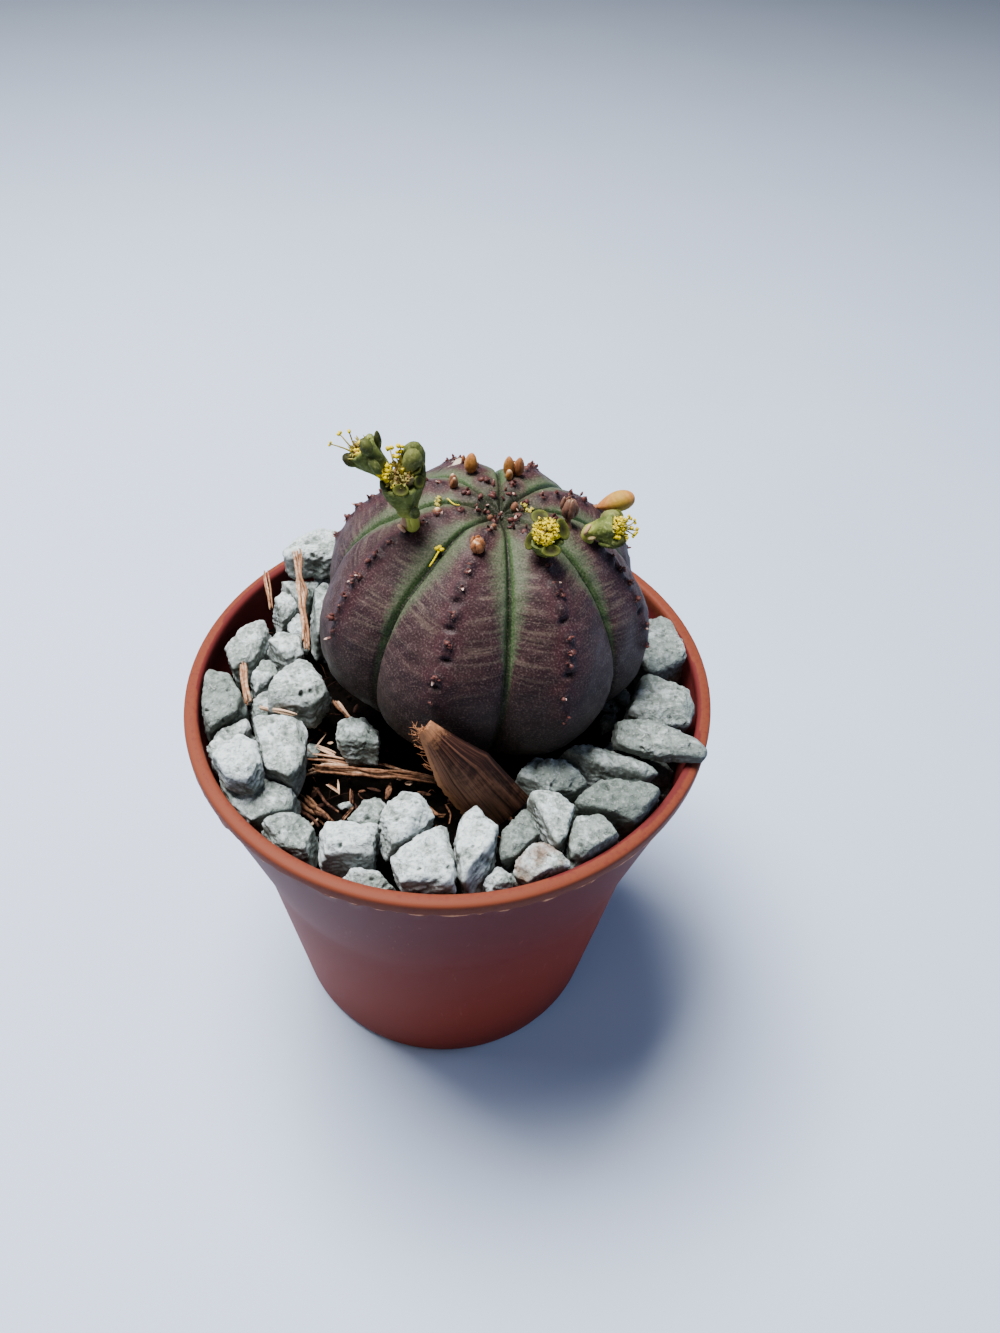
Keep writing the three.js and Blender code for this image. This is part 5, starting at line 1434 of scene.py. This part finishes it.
# Heaps of pollen: latitude, longitude and number of grains. Two threads of it: latitudes and longitudes.
HEAPS = [(68, -175.5, 9), (82, 27.5, 8), (81, 5.5, 8)]
THREAD = [(71, 179.5), (74, -170), (76, -168.5)]
FALLEN_STAMEN = [(52.5, -127.5), (55.5, -128.2), (58.5, -129.5)]
# How high the pollen lies above the skin.
POLLEN_LIFT = 0.2


class MakeBuds(bpy.types.Operator):
    """Adds the papery buds, the dry bud, the seed capsule and the crumbs that lie on the crown"""

    bl_idname = "baseball_plant.make_buds"
    bl_label = "Buds"

    def execute(self, context):
        plant, bloom = context.scene.plant_globe, context.scene.plant_bloom
        papery = bud_scales(bloom)
        pollen = bpy.data.materials.get("pollen_dust") or bloom_pollen(bloom)
        for name, rib, latitude, offset, to, size, folds, slot, looks in BUDS:
            start = on_rib(rib, latitude, plant, offset)
            blocks = [bud_block(start, to, *size, folds, **looks)]
            # A short stalk from just inside the skin to just inside the bud.
            sunk = np.array([on_rib(rib, latitude, plant, (0, 0, -0.4)), start, start + 0.3 * np.asarray(to)])
            plain = {"pale": 0.0, "age": max(0.6, looks.get("age", 0.0)), "gold": 0.0, "painted_crease_shade": 0.2}
            blocks.append((tube(smooth_curve(sunk, 8), 0.16 * size[1], 10), plain))
            if name in ("bud_front", "bud_dry"):
                # Five loose scales stand round the tip.
                long, wide = size
                for i in range(5):
                    turn = 1.26 * i + 0.4
                    out = np.array([math.cos(turn), math.sin(turn), 0])
                    at = start + 0.36 * wide * out + 0.35 * long * UP
                    way = UP - (0.35 - 0.15 * (i % 3)) * out
                    rings, t = scale_rings(at, way, 0.66 * long, 0.5 * wide, 0.6)
                    # The loose scales get painted shade at their feet.
                    marks = {"pale": 0.05 + 0.5 * t**2, "painted_crease_shade": 0.5 - 0.5 * t, "gold": 0.0}
                    blocks.append((rings, {**marks, "age": looks["age"]}))
            make_piece(name + "_scales", blocks, papery, [name])
        middle = on_rib(5, 70.5, plant, (-0.7, 0, 0.1))
        group = [
            bud_block(middle + [-0.42, 0, 0], (-0.04, 0, 1), 2.2, 1.15, 2, 0.15, 0.15, 0.3),
            bud_block(middle + [0.45, 0.1, 0], (0.06, 0, 1), 2.1, 1.1, 2, 0.45, 0.1),
            bud_block(middle + [0.0, 0.25, 0], (0, 0, 1), 1.8, 0.7, 2, 0.9, 0.5, open_tip=0.2),
            bud_block(middle + [-0.35, -0.65, 0], (-0.05, -0.2, 1), 1.3, 0.8, 2, 0.0, 0.35, 0.2),
        ]
        make_piece("buds_back_scales", group, papery, ["buds_back"])
        small = []
        for latitude, longitude, to, length, width, age, pale in SMALL_BUDS:
            at = on_skin(latitude, longitude, plant)
            small.append(bud_block(at, to, length, width, 3, age, pale))
        make_piece("small_buds", small, papery)
        fluff = []
        random = np.random.default_rng(631)
        for latitude, longitude, count in HEAPS:
            at = on_skin(latitude, longitude, plant, POLLEN_LIFT)
            for i in range(count):
                grain = at + random.normal(0, 0.16, 3)
                grain = crumb_block(grain, random.uniform(0.12, 0.28), 640 + i)
                fluff.append((grain, {"yellow": random.uniform(0, 0.4), "brown": 0.0}))
        for spots, thick, yellow in ((THREAD, 0.07, 0.8), (FALLEN_STAMEN, 0.09, 1.0)):
            path = [on_skin(latitude, longitude, plant, POLLEN_LIFT) for latitude, longitude in spots]
            fluff.append((tube(smooth_curve(path, 9), thick, 6), {"yellow": yellow, "brown": 0.0}))
        # The fallen stamen's pollen sacs, at its end.
        for shift in ((0.25, 0.1, 0.1), (-0.2, 0.2, 0.1), (0, 0.35, 0.15)):
            sac = crumb_block(path[-1] + np.array(shift), 0.24, 650, 0.12)
            fluff.append((sac, {"yellow": 1.0, "brown": 0.0}))
        make_piece("fallen_pollen", fluff, pollen)
        return {"FINISHED"}


# ------------------------------------------------------------------ the stage
# The soft lights: name, place, side of the square (metres), power (watts) and colour.
LIGHTS = [
    ("overhead_softbox", (-0.1, 0.06, 0.42), 0.2, 6.6, "#fffaf4"),
    ("front_fill", (-0.22, -0.32, 0.26), 0.3, 0.2, "#ffeee2"),
    ("right_fill", (0.34, 0.02, 0.16), 0.24, 0.5, "#bcd2ff"),
    ("left_fill", (-0.32, 0.06, 0.24), 0.24, 0.55, "#f4f6ff"),
]
# The spot that they face, on the pot's axis at the height of the gravel.
LIT_SPOT = (0, 0, 0.045)
ROOM_COLOUR, ROOM_STRENGTH = "#cfdcf2", 0.085
# The camera: place (metres), how far it looks down (degrees), roll (radians), focal length (millimetres).
CAMERA_AT, LOOK_DOWN, CAMERA_ROLL, FOCAL_LENGTH = (0.0048695, -0.0727242, 0.1243217), 45.505, 0.07605, 26.995


class MakeStage(bpy.types.Operator):
    """Sets up the floor, the soft lights and the camera"""

    bl_idname = "baseball_plant.make_stage"
    bl_label = "Stage"

    def execute(self, context):
        scene = context.scene
        mesh = bpy.data.meshes.new("floor")
        mesh.from_pydata([(-2, -2, 0), (2, -2, 0), (2, 2, 0), (-2, 2, 0)], [], [(0, 1, 2, 3)])
        floor = bpy.data.objects.new("floor", mesh)
        scene.collection.objects.link(floor)
        material, tree, shader, spot = finish("pale_board", 0.85)
        clouds = add(tree, "TexNoise", spot, 1 / 60, 3)
        coat(tree, shader, Base_Color=layers(tree, linear("#aebfdc"), (linear("#b8c8e2"), (clouds,))))
        mesh.materials.append(material)
        world = bpy.data.worlds.new("soft_room")
        world.use_nodes = True
        background = world.node_tree.nodes["Background"]
        background.inputs["Color"].default_value = linear(ROOM_COLOUR)
        background.inputs["Strength"].default_value = ROOM_STRENGTH
        scene.world = world
        for name, at, size, power, colour in LIGHTS:
            light = bpy.data.lights.new(name, "AREA")
            light.shape, light.size, light.energy, light.color = "SQUARE", size, power, linear(colour)[:3]
            lamp = bpy.data.objects.new(name, light)
            lamp.location = at
            lamp.rotation_euler = (Vector(LIT_SPOT) - Vector(at)).to_track_quat("-Z", "Y").to_euler()
            scene.collection.objects.link(lamp)
        lens = bpy.data.cameras.new("camera")
        lens.lens, lens.sensor_width, lens.clip_start = FOCAL_LENGTH, 36, 0.005
        camera = bpy.data.objects.new("camera", lens)
        pitch = Matrix.Rotation(math.radians(90 - LOOK_DOWN), 4, "X")
        roll = Matrix.Rotation(CAMERA_ROLL, 4, "Z")
        camera.matrix_world = Matrix.Translation(CAMERA_AT) @ pitch @ roll
        scene.collection.objects.link(camera)
        scene.camera = camera
        return {"FINISHED"}


MAKERS = (
    MakePot, MakeSoil, MakeLitter, MakeGravel, MakeHusk,
    MakeGlobe, MakeTubercles, MakeBlooms, MakeBuds, MakeStage,
)


class PlantPanel(bpy.types.Panel):
    """Lists the settings and the makers of each piece"""

    bl_idname = "VIEW3D_PT_baseball_plant"
    bl_label = "Baseball plant"
    bl_space_type = "VIEW_3D"
    bl_region_type = "UI"
    bl_category = "Plant"

    def draw(self, context):
        for group in SETTINGS:
            settings = getattr(context.scene, group)
            box = self.layout.box()
            for name in settings.bl_rna.properties.keys():
                if name not in ("rna_type", "name"):
                    box.prop(settings, name)
        for maker in MAKERS:
            self.layout.operator(maker.bl_idname)


SETTINGS = {
    "plant_pot": PotSettings,
    "plant_soil": SoilSettings,
    "plant_litter": LitterSettings,
    "plant_gravel": GravelSettings,
    "plant_globe": PlantSettings,
    "plant_bloom": BloomSettings,
}


def register():
    for group in SETTINGS.values():
        bpy.utils.register_class(group)
    for name, group in SETTINGS.items():
        setattr(bpy.types.Scene, name, PointerProperty(type=group))
    for thing in (*MAKERS, PlantPanel):
        bpy.utils.register_class(thing)


def unregister():
    for thing in reversed((*MAKERS, PlantPanel)):
        bpy.utils.unregister_class(thing)
    for name in SETTINGS:
        delattr(bpy.types.Scene, name)
    for group in reversed(list(SETTINGS.values())):
        bpy.utils.unregister_class(group)


def main():
    register()
    for maker in MAKERS:
        family, name = maker.bl_idname.split(".")
        getattr(getattr(bpy.ops, family), name)()


if __name__ == "__main__":
    main()
